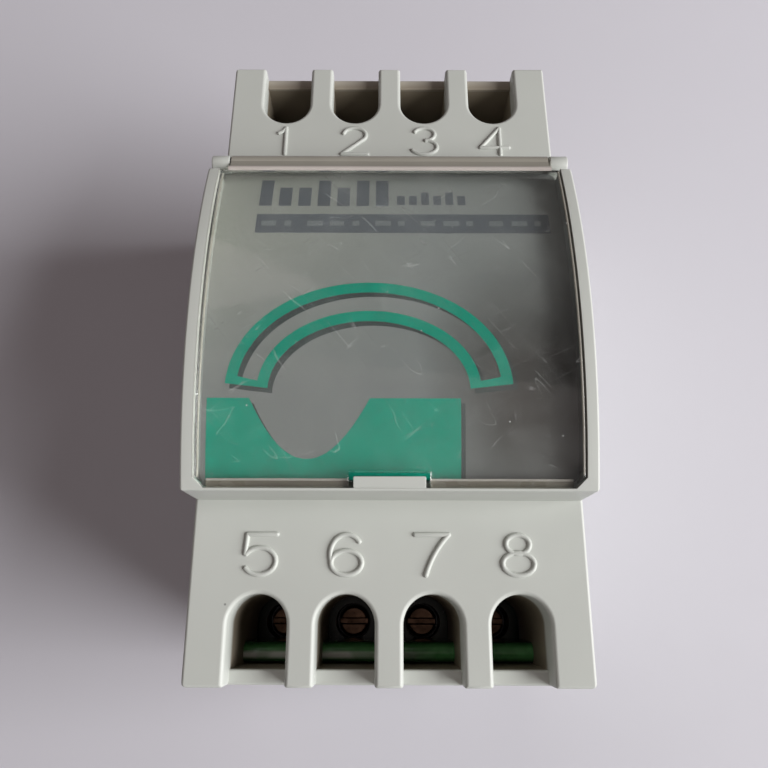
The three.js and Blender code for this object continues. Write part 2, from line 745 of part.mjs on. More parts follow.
// The armature rocks on the yoke's top edge; its arm carries the moving contact.
function relayArmature() {
  const plate = [ARMATURE.low, ARMATURE.low + ARMATURE.thick];
  return piece('relay_armature', 'iron', join(
    block([ARMATURE.left, ARMATURE.right], across(ARMATURE.half), plate),
    block([4.3, ARMATURE.right], across(2), [9.2, ARMATURE.low + 0.5]),
    block([3.9, 5.6], [LUG.y, -ARMATURE.half + 0.2], plate)));
}

// A flat blade with a round contact riveted through it.
function relayContact(name, finish, [left, right], button, [low, high], half) {
  return piece(name, finish, join(
    block([left, right], across(half), [low, high]),
    bar('x', CONTACT.radius, button, [0, 0, CONTACT.z], SMALL_ROUND)));
}

function relay() {
  const group = new THREE.Group();
  group.position.set(...RELAY_AT);
  const [halfX, halfY] = RELAY.half;
  const base = block(across(halfX - 1), across(halfY - 1), [REST_GAP, 2]);
  const caseSolid = cut(
    block(across(halfX), across(halfY), [2 * REST_GAP, RELAY.high]),
    block(across(halfX - RELAY.wall), across(halfY - RELAY.wall), [-1, RELAY.high - RELAY.wall]));
  const fixed = [CONTACT.foot, CONTACT.top];
  const springLow = LUG.high + 0.3;
  const spring = coilSpring({
    axis: 'z', radius: 0.8, wire: 0.3, length: ARMATURE.low - springLow - 0.3, turns: 6, stepsPerTurn: 10,
  });
  group.add(
    piece('relay_base', 'black', base),
    piece('relay_case', 'relayBlue', caseSolid),
    ...relayCoil(),
    relayYoke(),
    relayArmature(),
    piece('relay_armature_spring', 'steel', spring, [RELAY.springX, RELAY.springY, springLow]),
    relayContact('relay_moving_contact', 'copper', [5.2, 5.5], [4.75, 6.05], [5.6, 14.6], 2),
    relayContact('relay_rest_contact', 'brass', [4, 4.35], [4.2, 4.7], fixed, CONTACT.half),
    relayContact('relay_working_contact', 'brass', [7.25, 7.6], [6.75, 7.4], fixed, CONTACT.half));
  return group;
}

// ---------- Mains transformer ----------

// Shell core of stacked plates: two side limbs and a middle limb, with two windows.
function transformerCore() {
  const windows = [-1, 1].map((side) => block(
    span(side, CORE.limb, CORE.window), across(CORE.halfY + 0.5), [CORE_WINDOW.low, CORE_WINDOW.high]));
  const body = cut(block(across(CORE.halfX), across(CORE.halfY), [CORE.low, CORE.high]), ...windows);
  return piece('transformer_core', 'iron', body);
}

// The bobbin stands on the board, wraps the middle limb and has three flanges.
function transformerBobbin() {
  const low = CORE_WINDOW.low + 0.3;
  const high = CORE_WINDOW.high - 0.3;
  const middle = (low + high) / 2;
  const [boreX, boreY] = BOBBIN.bore;
  const [tubeX, tubeY] = BOBBIN.tube;
  const flanges = [low, middle - BOBBIN.flange / 2, high - BOBBIN.flange].map((z) => (
    block(across(BOBBIN.halfX), across(BOBBIN.halfY), [z, z + BOBBIN.flange])));
  const skirts = [-1, 1].map((side) => (
    block(across(BOBBIN.halfX), span(side, BOBBIN.halfY - 5, BOBBIN.halfY), [REST_GAP, low + 0.3])));
  const body = cut(
    join(block(across(tubeX), across(tubeY), [low, high]), ...flanges, ...skirts),
    block(across(boreX), across(boreY), [low - 1, high + 1]));
  return piece('transformer_bobbin', 'bobbin', body);
}

function transformerWinding(name, low, high) {
  const outer = roundedRectangle(across(BOBBIN.halfX - 0.4), across(BOBBIN.halfY - 0.6), 3);
  const [tubeX, tubeY] = BOBBIN.tube;
  return piece(name, 'copper', cut(
    planRun(outer, [low, high], 3),
    block(across(tubeX + 0.2), across(tubeY + 0.2), [low - 1, high + 1])));
}

function transformer() {
  const group = new THREE.Group();
  group.position.set(...TRANSFORMER_AT);
  group.add(
    transformerCore(),
    transformerBobbin(),
    transformerWinding('transformer_primary', 9.3, 14),
    transformerWinding('transformer_secondary', 15.2, 19.9));
  return group;
}

// ---------- Smaller components ----------

// A dual-in-line package with its legs bent down to the board.
function chip(name, length, pins, at) {
  const half = 3.2;
  const reach = 3.9;
  const leg = 0.3;
  let body = block(across(length / 2), across(half), [0.5, 3.8]);
  for (let pin = 0; pin < pins; pin++) {
    const x = (pin - (pins - 1) / 2) * LEAD_PITCH;
    for (const side of [-1, 1]) {
      body = join(
        body,
        block(about(x, 0.5), span(side, half - 0.2, reach), [1.9, 1.9 + leg]),
        block(about(x, 0.5), span(side, reach - leg, reach), [REST_GAP, 1.9 + leg]));
    }
  }
  return piece(name, 'black', body, at);
}

// A round can with a crimped groove near its foot.
function filterCapacitor(at) {
  const body = turned([
    [0, REST_GAP], [4.7, REST_GAP], [5, 0.4], [5, 1.6], [4.8, 2], [5, 2.4], [5, 15.6], [4.6, 16], [0, 16],
  ]);
  return piece('filter_capacitor', 'black', body, at);
}

// A coated disc on two wire leads.
function varistor(at) {
  const leads = [-1, 1].map((side) => block(span(side, 2.3, 2.9), across(0.3), [REST_GAP, 4]));
  return piece('varistor', 'varistor', join(bar('y', 4.5, across(1.8), [0, 0, 6.2]), ...leads), at);
}

function fuse(at) {
  const body = turned([[0, REST_GAP], [4.2, REST_GAP], [4.2, 7.6], [3.8, 8], [0, 8]]);
  return piece('fuse', 'black', body, at);
}

function components() {
  const group = new THREE.Group();
  const film = block(across(6.2), across(2.7), [REST_GAP, 11]);
  const bridge = block(across(4.2), across(3.2), [3 * REST_GAP, 5.2]);
  const crystal = planRun(roundedRectangle(across(5.5), across(2.3), 2.2), [2 * REST_GAP, 3.6], 3);
  group.add(
    filterCapacitor([13.7, -19, BOARD_TOP]),
    piece('suppression_capacitor', 'film', film, [13.4, -8.8, BOARD_TOP]),
    fuse([15.6, 3, BOARD_TOP]),
    varistor([15.5, 11.5, BOARD_TOP]),
    piece('bridge_rectifier', 'black', bridge, [15.2, 18.6, BOARD_TOP]),
    piece('crystal', 'nickel', crystal, [-10, -10, LOGIC_TOP]),
    chip('controller_chip', 22.6, 8, [-4, 2, LOGIC_TOP]),
    chip('optocoupler', 8.6, 3, [12, -9, LOGIC_TOP]));
  return group;
}

// ---------- The whole module ----------

const relayModule = new THREE.Group();
relayModule.add(
  frontHousing(),
  rearBase(),
  dinClip(),
  clipSpring(),
  windowCover(),
  labelCard(),
  terminals(),
  powerBoard(),
  logicBoard(),
  boardLink(),
  relay(),
  transformer(),
  components());

export default relayModule;
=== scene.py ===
import math

import bmesh
import bpy
from mathutils import Matrix, Vector


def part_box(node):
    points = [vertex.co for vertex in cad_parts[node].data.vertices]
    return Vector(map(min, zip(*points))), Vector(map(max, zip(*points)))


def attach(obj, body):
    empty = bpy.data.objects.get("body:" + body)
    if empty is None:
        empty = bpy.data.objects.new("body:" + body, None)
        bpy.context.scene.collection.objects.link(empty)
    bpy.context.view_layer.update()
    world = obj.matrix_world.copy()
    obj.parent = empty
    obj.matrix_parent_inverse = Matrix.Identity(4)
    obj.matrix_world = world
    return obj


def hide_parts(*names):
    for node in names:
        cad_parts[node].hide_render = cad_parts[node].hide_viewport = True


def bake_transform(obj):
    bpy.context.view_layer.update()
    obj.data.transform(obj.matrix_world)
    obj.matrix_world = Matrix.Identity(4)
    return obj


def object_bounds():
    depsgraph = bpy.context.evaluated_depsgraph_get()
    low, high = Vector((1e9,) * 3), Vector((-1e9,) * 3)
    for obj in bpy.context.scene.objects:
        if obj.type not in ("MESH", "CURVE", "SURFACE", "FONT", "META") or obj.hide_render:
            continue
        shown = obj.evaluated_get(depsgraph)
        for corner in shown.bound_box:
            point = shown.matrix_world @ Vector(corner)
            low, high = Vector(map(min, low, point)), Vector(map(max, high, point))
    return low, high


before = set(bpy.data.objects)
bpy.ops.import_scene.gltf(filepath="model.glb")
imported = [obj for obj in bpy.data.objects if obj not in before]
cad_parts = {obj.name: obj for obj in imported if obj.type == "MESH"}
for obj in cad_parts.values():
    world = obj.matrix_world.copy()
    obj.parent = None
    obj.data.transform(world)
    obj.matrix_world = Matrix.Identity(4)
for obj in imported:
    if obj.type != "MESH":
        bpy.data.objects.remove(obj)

cad_low, cad_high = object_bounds()
MM = 0.001

# ---------- Camera, fitted to the object's corners in the photo ----------

CAMERA_PLACE = (-0.000565, -0.033198, 0.122183)
CAMERA_TURN = (0.320, 0, 0.003)
FOCAL_LENGTH = 31.46
SENSOR_WIDTH = 36


def add_camera():
    data = bpy.data.cameras.new("photo_camera")
    data.lens = FOCAL_LENGTH
    data.sensor_width = SENSOR_WIDTH
    data.clip_start = 0.005
    data.clip_end = 10
    camera = bpy.data.objects.new("photo_camera", data)
    camera.location = CAMERA_PLACE
    camera.rotation_euler = CAMERA_TURN
    bpy.context.scene.collection.objects.link(camera)
    bpy.context.scene.camera = camera


add_camera()

# ---------- Dimensions, in millimetres ----------

# The case. X runs across it, Y towards its far end and Z out of its front.
HALF_WIDTH = 22.5
HALF_LENGTH = 41.6
SHOULDER_Z = 44.0
SHOULDER_DROP = 0.65
JOIN_Z = 5.0
INSIDE_X = HALF_WIDTH - 1.6
INSIDE_Y = HALF_LENGTH - 1.65
ROOF_Z = SHOULDER_Z - 2.3
SHELF_Y, SHELF_Z, SHELF_DEPTH = (6, 24), (36.8, 38.3), 1.5
CATCH_Y, CATCH_HALF, CATCH_Z = 25, 3.2, (7.4, 9.6)

# The nose, whose front is an arc, and the window sunk in it.
HALF_NOSE = 21.5
CROWN_Z = 54.4
CROWN_SAG = 3.8
CROWN_RADIUS = (HALF_NOSE ** 2 + CROWN_SAG ** 2) / (2 * CROWN_SAG)
RIM_Z = CROWN_Z - CROWN_SAG
NOSE_INSIDE_Y = 19.6
RAIL_STRIP = 1.4
NEAR_EDGE = -HALF_NOSE + 0.3
CORNER = 1.1
RECESS_DEPTH = 3.2
RECESS_FLOOR = 1.4
RECESS_FAR_Y = 18.3
TAB_HALF = 3.9
TAB_DEPTH = 1.2

# The hinge.
HINGE_Y, HINGE_Z = 20.3, 49.6
HINGE_CHANNEL_Z = 48.3
EAR_WIDTH = 2.3
EAR_RADIUS = 1.1
PIN_HOLE_RADIUS, PIN_HOLE_HALF = 0.75, HALF_WIDTH - 0.8
PIN_RADIUS, PIN_HALF = 0.6, HALF_WIDTH - 0.9
BARREL_RADIUS, BARREL_HALF = 1.1, HALF_WIDTH - EAR_WIDTH - 0.2

# The terminals.
TERMINAL_Y = 35.2
TERMINAL_PITCH = 9.77
TERMINAL_XS = [(pole - 1.5) * TERMINAL_PITCH for pole in range(4)]
SLOT_RADIUS = 3.3
SLOT_END_Y = TERMINAL_Y - SLOT_RADIUS
SLOT_WALL = 1.7
SLOT_LEDGE_Z = 40.4
FAR_LEDGE_Z = 41.1
WELL_BOTTOM_Z = 24.0
WELL_WALL_TOP_Z = SHOULDER_Z - 1.15
WIRE_HALF, WIRE_Z, WIRE_CORNER = 3.1, (8.2, 14.6), 1.0
BLOCK_TOP = 21.7
RIB_Y = TERMINAL_Y + 3.4
RIB_RADIUS = 1.25
RIB_TOP = 33.0

# The cover and the card. Tops, bottoms and depths are measured down from the crown.
COVER_HALF = HALF_WIDTH - RAIL_STRIP - 0.12
COVER_NEAR = NEAR_EDGE + 0.12
COVER_FAR = RECESS_FAR_Y - 0.2
PANE_TOP, PANE_BOTTOM, SKIRT_BOTTOM = 0.1, 1.3, 2.9
NOTCH_HALF = 4.4
SKIRT_THICK = 0.85
SKIRT_BEAD_RADIUS, HINGE_BEAD_RADIUS = 0.24, 0.33
CARD_HALF, CARD_NEAR, CARD_FAR = 21.0, -20.15, 19.3
CARD_TOP_DEPTH = 2.75
CARD_THICK = 0.37
CARD_EDGE = 0.12
INK = 0.02
SHADOW_INK = 0.012

# Heights between which a cut goes right through the cover.
THROUGH_COVER = (SHOULDER_Z - 4, CROWN_Z + 4)

# ---------- Meshes ----------


def mesh_of(bm, name="work"):
    mesh = bpy.data.meshes.new(name)
    bm.to_mesh(mesh)
    bm.free()
    return mesh


def prism(outline, axis, low, high):
    """An outline run straight along x, y or z; drawn in y-z, x-z or x-y."""
    place = {
        "x": lambda u, v, w: (w, u, v),
        "y": lambda u, v, w: (u, w, v),
        "z": lambda u, v, w: (u, v, w),
    }[axis]
    bm = bmesh.new()
    rings = [[bm.verts.new(place(u, v, w)) for u, v in outline] for w in (low, high)]
    count = len(outline)
    for ring in rings:
        bm.faces.new(ring)
    for i in range(count):
        j = (i + 1) % count
        bm.faces.new((rings[0][i], rings[0][j], rings[1][j], rings[1][i]))
    bmesh.ops.recalc_face_normals(bm, faces=bm.faces)
    return mesh_of(bm)


def rectangle(u, v):
    return [(u[0], v[0]), (u[1], v[0]), (u[1], v[1]), (u[0], v[1])]


def block(x, y, z):
    return prism(rectangle(x, y), "z", *z)


def circle(u, v, radius, sides):
    steps = [2 * math.pi * i / sides for i in range(sides)]
    return [(u + radius * math.cos(a), v + radius * math.sin(a)) for a in steps]


# A domed end's rings: the size of each and how far out it lies, as shares of the radius.
DOME = [(0.97, 0.22), (0.78, 0.62), (0.42, 0.9)]


def tube(points, radius, sides=10, closed=False):
    """A round wire along a path, with domed ends."""
    path = [Vector(p) for p in points]
    count = len(path)
    stations = []
    for i, point in enumerate(path):
        before = path[i - 1] if (i or closed) else path[i]
        after = path[(i + 1) % count] if (i < count - 1 or closed) else path[i]
        stations.append((point, (after - before).normalized(), 1.0))
    if not closed:
        first, outward = stations[0][:2]
        last, onward = stations[-1][:2]
        start = [(first - outward * radius * out, outward, size) for size, out in reversed(DOME)]
        end = [(last + onward * radius * out, onward, size) for size, out in DOME]
        stations = start + stations + end
    bm = bmesh.new()
    rings = []
    side = None
    for point, heading, size in stations:
        if side is None:
            side = heading.orthogonal().normalized()
        side = (side - heading * side.dot(heading)).normalized()
        other = heading.cross(side)
        ring = []
        for k in range(sides):
            a = 2 * math.pi * k / sides
            offset = (side * math.cos(a) + other * math.sin(a)) * radius * size
            ring.append(bm.verts.new(point + offset))
        rings.append(ring)
    pairs = list(zip(rings, rings[1:]))
    if closed:
        pairs.append((rings[-1], rings[0]))
    for a, b in pairs:
        for k in range(sides):
            m = (k + 1) % sides
            bm.faces.new((a[k], a[m], b[m], b[k]))
    if not closed:
        bm.faces.new(rings[0])
        bm.faces.new(rings[-1])
    bmesh.ops.recalc_face_normals(bm, faces=bm.faces)
    return mesh_of(bm)


def gather(meshes):
    """Several meshes as one."""
    bm = bmesh.new()
    for mesh in meshes:
        bm.from_mesh(mesh)
        bpy.data.meshes.remove(mesh)
    return mesh_of(bm)


def cut(mesh):
    return ("DIFFERENCE", mesh)


def join(mesh):
    return ("UNION", mesh)


def combine(base, *steps):
    """Boolean steps in order; each is an operation and a mesh."""
    scene = bpy.context.scene
    body = bpy.data.objects.new("work", base)
    scene.collection.objects.link(body)
    tools = []
    for operation, mesh in steps:
        tool = bpy.data.objects.new("tool", mesh)
        scene.collection.objects.link(tool)
        tools.append(tool)
        modifier = body.modifiers.new("step", "BOOLEAN")
        modifier.operation = operation
        modifier.solver = "MANIFOLD"
        modifier.object = tool
    depsgraph = bpy.context.evaluated_depsgraph_get()
    result = bpy.data.meshes.new_from_object(body.evaluated_get(depsgraph))
    for obj in [body, *tools]:
        mesh = obj.data
        bpy.data.objects.remove(obj)
        bpy.data.meshes.remove(mesh)
    return result


def rounded(mesh, rule, segments=3, split=None):
    """Bevels each edge by the width in millimetres that the rule gives for it.

    Split says which faces, by their centres, are cut into triangles first: flat ones with openings.
    """
    bm = bmesh.new()
    bm.from_mesh(mesh)
    bpy.data.meshes.remove(mesh)
    bmesh.ops.remove_doubles(bm, verts=bm.verts, dist=1e-4)
    bmesh.ops.dissolve_limit(bm, angle_limit=math.radians(0.15), verts=bm.verts, edges=bm.edges)
    if split:
        pierced = [face for face in bm.faces if split(face.calc_center_median())]
        bmesh.ops.triangulate(bm, faces=pierced)
    bm.normal_update()
    widths = {}
    for edge in bm.edges:
        if len(edge.link_faces) != 2:
            continue
        bend = edge.calc_face_angle_signed(0)
        if abs(bend) < math.radians(20):
            continue
        a, b = (v.co for v in edge.verts)
        width = rule((a + b) / 2, a, b, bend)
        if width:
            widths[edge.index] = width
    most = max(widths.values(), default=0)
    result = mesh_of(bm)
    if not most:
        return result
    weights = result.attributes.new("bevel_weight_edge", "FLOAT", "EDGE")
    for index, width in widths.items():
        weights.data[index].value = width / most
    body = bpy.data.objects.new("work", result)
    bpy.context.scene.collection.objects.link(body)
    modifier = body.modifiers.new("round", "BEVEL")
    modifier.limit_method = "WEIGHT"
    modifier.width = most
    modifier.segments = segments
    modifier.use_clamp_overlap = False
    modifier.miter_outer = "MITER_SHARP"
    depsgraph = bpy.context.evaluated_depsgraph_get()
    final = bpy.data.meshes.new_from_object(body.evaluated_get(depsgraph))
    bpy.data.objects.remove(body)
    bpy.data.meshes.remove(result)
    return final


def add_piece(name, mesh, body, material, nodes=(), *, sharp, weighted=True):
    """A finished mesh, in millimetres, as a piece; edges bent by more than sharp degrees look sharp."""
    mesh.transform(Matrix.Scale(MM, 4))
    mesh.name = name
    mesh.shade_smooth()
    mesh.set_sharp_from_angle(angle=math.radians(sharp))
    mesh.materials.clear()
    mesh.materials.append(material)
    piece = bpy.data.objects.new(name, mesh)
    bpy.context.scene.collection.objects.link(piece)
    if weighted:
        modifier = piece.modifiers.new("normals", "WEIGHTED_NORMAL")
        modifier.keep_sharp = True
    if body:
        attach(piece, body)
    if nodes:
        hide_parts(*nodes)
    return piece


def refine(name, material, width, segments=2, pierced=False):
    """Finishes a CAD node: rounded edges, smooth shading and a material.

    A pierced node has openings in its flat faces, so those are left in triangles.
    """
    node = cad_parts[name]
    mesh = node.data
    for polygon in mesh.polygons:
        polygon.use_smooth = True
    mesh.materials.clear()
    mesh.materials.append(material)
    weld = node.modifiers.new("weld", "WELD")
    weld.merge_threshold = 2e-6
    if not pierced:
        flat = node.modifiers.new("flat", "DECIMATE")
        flat.decimate_type = "DISSOLVE"
        flat.angle_limit = math.radians(0.5)
    bevel = node.modifiers.new("round", "BEVEL")
    bevel.limit_method = "ANGLE"
    bevel.angle_limit = math.radians(32)
    bevel.width = width * MM
    bevel.segments = segments
    bevel.use_clamp_overlap = True
    bevel.miter_outer = "MITER_ARC"
    normals = node.modifiers.new("normals", "WEIGHTED_NORMAL")
    normals.keep_sharp = True


# ---------- Materials ----------


def srgb(r, g, b):
    """A screen colour, 0 to 255, as the linear one that a material takes."""
    def linear(c):
        c /= 255
        return c / 12.92 if c <= 0.04045 else ((c + 0.055) / 1.055) ** 2.4
    return tuple(linear(c) for c in (r, g, b))


# Painted shade in the wells, painted shade on the far ledges from their inner edge to their outer one,
# and painted shade on the walls beside the window. The ledge shade keeps within this half width, clear
# of the module's sides.
WELL_SHADE = srgb(134, 123, 106)
LEDGE_SHADE_INNER = srgb(140, 128, 112)
LEDGE_SHADE_OUTER = srgb(174, 166, 154)
WALL_SHADE = srgb(88, 84, 74)
LEDGE_SHADE_HALF = 18


class Finish:
    """A material and the nodes that feed its principled shader."""

    def __init__(self, name, color, rough, metallic=0.0, **sockets):
        self.material = bpy.data.materials.new(name)
        self.material.use_nodes = True
        self.tree = self.material.node_tree
        self.tree.nodes.clear()
        self.output = self.tree.nodes.new("ShaderNodeOutputMaterial")
        self.shader = self.tree.nodes.new("ShaderNodeBsdfPrincipled")
        self.link(self.shader.outputs[0], self.output.inputs["Surface"])
        self.color = color
        self.rough = rough
        self.shader.inputs["Base Color"].default_value = (*color, 1)
        self.shader.inputs["Roughness"].default_value = rough
        self.shader.inputs["Metallic"].default_value = metallic
        for socket, value in sockets.items():
            self.shader.inputs[socket.replace("_", " ")].default_value = value
        self.place = self.add("ShaderNodeTexCoord").outputs["Object"]
        self.height = None
        self.split = None

    def add(self, kind, inputs=None, **settings):
        node = self.tree.nodes.new(kind)
        for key, value in settings.items():
            setattr(node, key, value)
        for key, value in (inputs or {}).items():
            if isinstance(value, bpy.types.NodeSocket):
                self.link(value, node.inputs[key])
            else:
                node.inputs[key].default_value = value
        return node

    def link(self, start, end):
        self.tree.links.new(start, end)

    def axes(self):
        """The place on the object, split into X, Y and Z in metres."""
        if self.split is None:
            self.split = self.add("ShaderNodeSeparateXYZ", {0: self.place})
        return self.split

    def noise(self, size, detail, rough=0.5, stretch=None, distortion=0.0):
        """Noise whose features are about this size, in millimetres."""
        place = self.place
        if stretch:
            place = self.add("ShaderNodeMapping", {"Vector": place, "Scale": stretch}).outputs[0]
        return self.add("ShaderNodeTexNoise", {
            "Vector": place, "Scale": 1 / (size * MM), "Detail": detail,
            "Roughness": rough, "Distortion": distortion}).outputs[0]

    def ramp(self, value, low, high, start=0.0, end=1.0):
        return self.add("ShaderNodeMapRange", {
            0: value, 1: low, 2: high, 3: start, 4: end}).outputs[0]

    def math(self, operation, a, b=0.0):
        return self.add("ShaderNodeMath", {0: a, 1: b}, operation=operation).outputs[0]

    def times(self, first, *others):
        for other in others:
            first = self.math("MULTIPLY", first, other)
        return first

    def mix(self, factor, a, b):
        node = self.add("ShaderNodeMix", data_type="RGBA")
        for key, value in ((0, factor), (6, a), (7, b)):
            if isinstance(value, bpy.types.NodeSocket):
                self.link(value, node.inputs[key])
            else:
                node.inputs[key].default_value = value if key == 0 else (*value[:3], 1)
        return node.outputs[2]

    def tint(self, value):
        self.link(value, self.shader.inputs["Base Color"])

    def shades(self, size, spread):
        """Base colour that drifts lighter and darker over the surface."""
        drift = self.ramp(self.noise(size, 3.0), 0.3, 0.7)
        low = [c * (1 - spread) for c in self.color]
        high = [min(1, c * (1 + spread)) for c in self.color]
        return self.mix(drift, low, high)

    def gloss(self, size, spread):
        """Roughness that wanders by the spread about its own value."""
        low, high = self.rough - spread, self.rough + spread
        value = self.ramp(self.noise(size, 3.0), 0.25, 0.75, low, high)
        self.link(value, self.shader.inputs["Roughness"])

    def bump(self, value, height):
        """Adds relief; the height is in millimetres."""
        inputs = {"Height": value, "Strength": 1.0, "Distance": height * MM}
        if self.height is not None:
            inputs["Normal"] = self.height
        self.height = self.add("ShaderNodeBump", inputs).outputs[0]
        self.link(self.height, self.shader.inputs["Normal"])


def inside(f, axis, low, high, soft):
    """1 between two places on an axis, falling to 0 over the soft width; all in millimetres."""
    value = f.axes().outputs["XYZ".index(axis)]
    rise = f.ramp(value, (low - soft) * MM, low * MM)
    fall = f.ramp(value, high * MM, (high + soft) * MM, 1, 0)
    return f.times(rise, fall)


def paint_recess_shade(f, tone):
    """Painted shade: dark wells below the terminal slots, darker far ledges, and dark walls beside the
    window.
    """
    # Painted shade in the wells, inside the case and below the ledges.
    across_well = inside(f, "X", -HALF_WIDTH + 0.7, HALF_WIDTH - 0.7, 0.1)
    along_well = inside(f, "Y", -INSIDE_Y - 0.1, INSIDE_Y + 0.1, 0.1)
    far = f.ramp(f.axes().outputs[1], 0, 1 * MM)
    deep = f.math("MAXIMUM", inside(f, "Z", JOIN_Z, SLOT_LEDGE_Z - 1.0, 1.0),
                  f.times(far, inside(f, "Z", JOIN_Z, FAR_LEDGE_Z - 0.5, 0.3)))
    well = f.times(across_well, along_well, deep)
    tone = f.mix(f.times(well, 0.95), tone, WELL_SHADE)
    # Painted shade on the tops of the far ledges, darkest at their inner edge.
    ledge = f.times(inside(f, "Z", FAR_LEDGE_Z - 0.3, FAR_LEDGE_Z + 0.15, 0.15),
                    inside(f, "Y", INSIDE_Y - 0.3, HALF_LENGTH - 0.1, 0.08))
    ledge = f.times(ledge, inside(f, "X", -LEDGE_SHADE_HALF, LEDGE_SHADE_HALF, 0.1))
    outward = f.ramp(f.axes().outputs[1], (INSIDE_Y + 0.3) * MM, (HALF_LENGTH - 0.3) * MM)
    ledge_shade = f.mix(outward, LEDGE_SHADE_INNER, LEDGE_SHADE_OUTER)
    tone = f.mix(f.times(ledge, 0.9), tone, ledge_shade)
    # Painted shade on the walls at the window's two sides.
    wall = HALF_WIDTH - RAIL_STRIP
    at_wall = f.math("ADD", inside(f, "X", -wall - 0.05, -wall + 0.3, 0.05),
                     inside(f, "X", wall - 0.3, wall + 0.05, 0.05))
    high = inside(f, "Z", RIM_Z - RECESS_DEPTH - 0.2, CROWN_Z, 0.1)
    along_wall = inside(f, "Y", NEAR_EDGE + CORNER, RECESS_FAR_Y, 0.1)
    below_rim = f.times(at_wall, high, along_wall)
    return f.mix(f.times(below_rim, 0.62), tone, WALL_SHADE)


def moulded(name, color, rough, grain, relief, spread=0.03, specks=0.0, recess_shade=None):
    """Moulded plastic: slow drifts in tone, fine grain, uneven gloss, a few specks."""
    f = Finish(name, color, rough)
    tone = f.shades(14, spread)
    if specks:
        cells = f.add("ShaderNodeTexVoronoi", {
            "Vector": f.place, "Scale": 1 / (6 * MM), "Randomness": 1.0})
        near = f.ramp(cells.outputs["Distance"], 0.012, 0.03, 1, 0)
        pick = f.add("ShaderNodeSeparateColor", {0: cells.outputs["Color"]}).outputs[0]
        chosen = f.ramp(pick, 0.62, 0.66, 0, specks)
        dark = [c * 0.28 for c in color]
        tone = f.mix(f.times(near, chosen), tone, dark)
    # Painted shade in recesses, for the materials that take it.
    if recess_shade:
        tone = recess_shade(f, tone)
    f.tint(tone)
    f.gloss(3, 0.06)
    f.bump(f.noise(grain, 3, 0.6), relief)
    return f.material


def metal(name, color, rough, brush=None, spread=0.12, relief=0.004, stain=None):
    """Worked metal: fine scoring, uneven gloss and patches of stain."""
    f = Finish(name, color, rough, metallic=1.0)
    tone = f.shades(1.6, spread)
    if stain:
        patch = f.ramp(f.noise(0.9, 4, 0.65), 0.52, 0.72)
        tone = f.mix(patch, tone, stain)
    f.tint(tone)
    f.gloss(0.7, 0.1)
    f.bump(f.noise(0.25, 3, 0.6, stretch=brush), relief)
    return f.material


HOUSING_COLOR = srgb(201, 204, 198)
CASE = dict(color=HOUSING_COLOR, rough=0.46, grain=0.3, relief=0.0045, spread=0.025, specks=0.85)
# The housing gets painted shade in its wells, on its far ledges and on the walls beside the window.
housing_plastic = moulded("housing_plastic", recess_shade=paint_recess_shade, **CASE)
base_plastic = moulded("base_plastic", **CASE)
digit_plastic = moulded("digit_plastic", HOUSING_COLOR, 0.4, grain=0.3, relief=0.003, spread=0.02)
clip_plastic = moulded("clip_plastic", srgb(52, 54, 54), 0.42, grain=0.4, relief=0.006, spread=0.08)
# The terminal block's green is painted very dark, as painted shade for the deep wells it sits in.
block_plastic = moulded("terminal_plastic", srgb(16, 40, 24), 0.3, grain=1.2, relief=0.01, spread=0.12)
black_plastic = moulded("black_plastic", srgb(36, 36, 40), 0.5, grain=0.2, relief=0.006, spread=0.1)
relay_blue = moulded("relay_case_plastic", srgb(52, 88, 146), 0.32, grain=0.5, relief=0.005, spread=0.05)
bobbin_plastic = moulded("bobbin_plastic", srgb(226, 220, 204), 0.5, grain=0.4, relief=0.006)
film_yellow = moulded("film_capacitor", srgb(206, 172, 58), 0.38, grain=0.5, relief=0.006, spread=0.05)
varistor_blue = moulded("varistor_coating", srgb(48, 92, 168), 0.3, grain=0.7, relief=0.03, spread=0.08)
sleeve_black = moulded("capacitor_sleeve", srgb(34, 36, 46), 0.28, grain=0.8, relief=0.008, spread=0.1)
screw_metal = metal("screw_metal", srgb(130, 102, 84), 0.4, spread=0.25, relief=0.01,
                    stain=srgb(90, 68, 54))
nickel = metal("cage_metal", srgb(196, 194, 188), 0.3, brush=(1, 1, 6))
brass = metal("contact_brass", srgb(198, 168, 104), 0.32, brush=(1, 8, 1))
copper_alloy = metal("contact_copper", srgb(190, 124, 84), 0.34, brush=(1, 1, 8))
spring_steel = metal("spring_steel", srgb(176, 178, 182), 0.26, spread=0.06)
soft_iron = metal("soft_iron", srgb(160, 162, 164), 0.38, stain=srgb(150, 144, 120))
can_metal = metal("crystal_can", srgb(204, 204, 200), 0.26, brush=(1, 1, 5))


def wound_copper():
    """Enamelled wire laid in turns across the coil."""
    f = Finish("enamelled_copper", srgb(168, 84, 44), 0.3, metallic=0.85)
    turns = f.add("ShaderNodeTexWave", {
        "Vector": f.place, "Scale": 1 / (0.9 * MM), "Distortion": 0.6, "Detail": 1.0,
        "Detail Scale": 0.4}, wave_type="BANDS", bands_direction="Z").outputs[1]
    deep = f.ramp(turns, 0.0, 0.45)
    f.tint(f.mix(deep, srgb(70, 26, 12), f.shades(2.5, 0.15)))
    f.gloss(0.8, 0.08)
    f.bump(turns, 0.08)
    return f.material


def laminations():
    """Stacked steel sheets with varnish between them."""
    f = Finish("laminated_iron", srgb(92, 94, 98), 0.42, metallic=0.8)
    sheets = f.add("ShaderNodeTexWave", {
        "Vector": f.place, "Scale": 1 / (1.6 * MM), "Distortion": 0.15, "Detail": 2.0},
        wave_type="BANDS", bands_direction="Y").outputs[1]
    gap = f.ramp(sheets, 0.0, 0.25)
    f.tint(f.mix(gap, srgb(34, 28, 24), f.shades(5, 0.14)))
    f.gloss(1.5, 0.1)
    f.bump(sheets, 0.04)
    return f.material


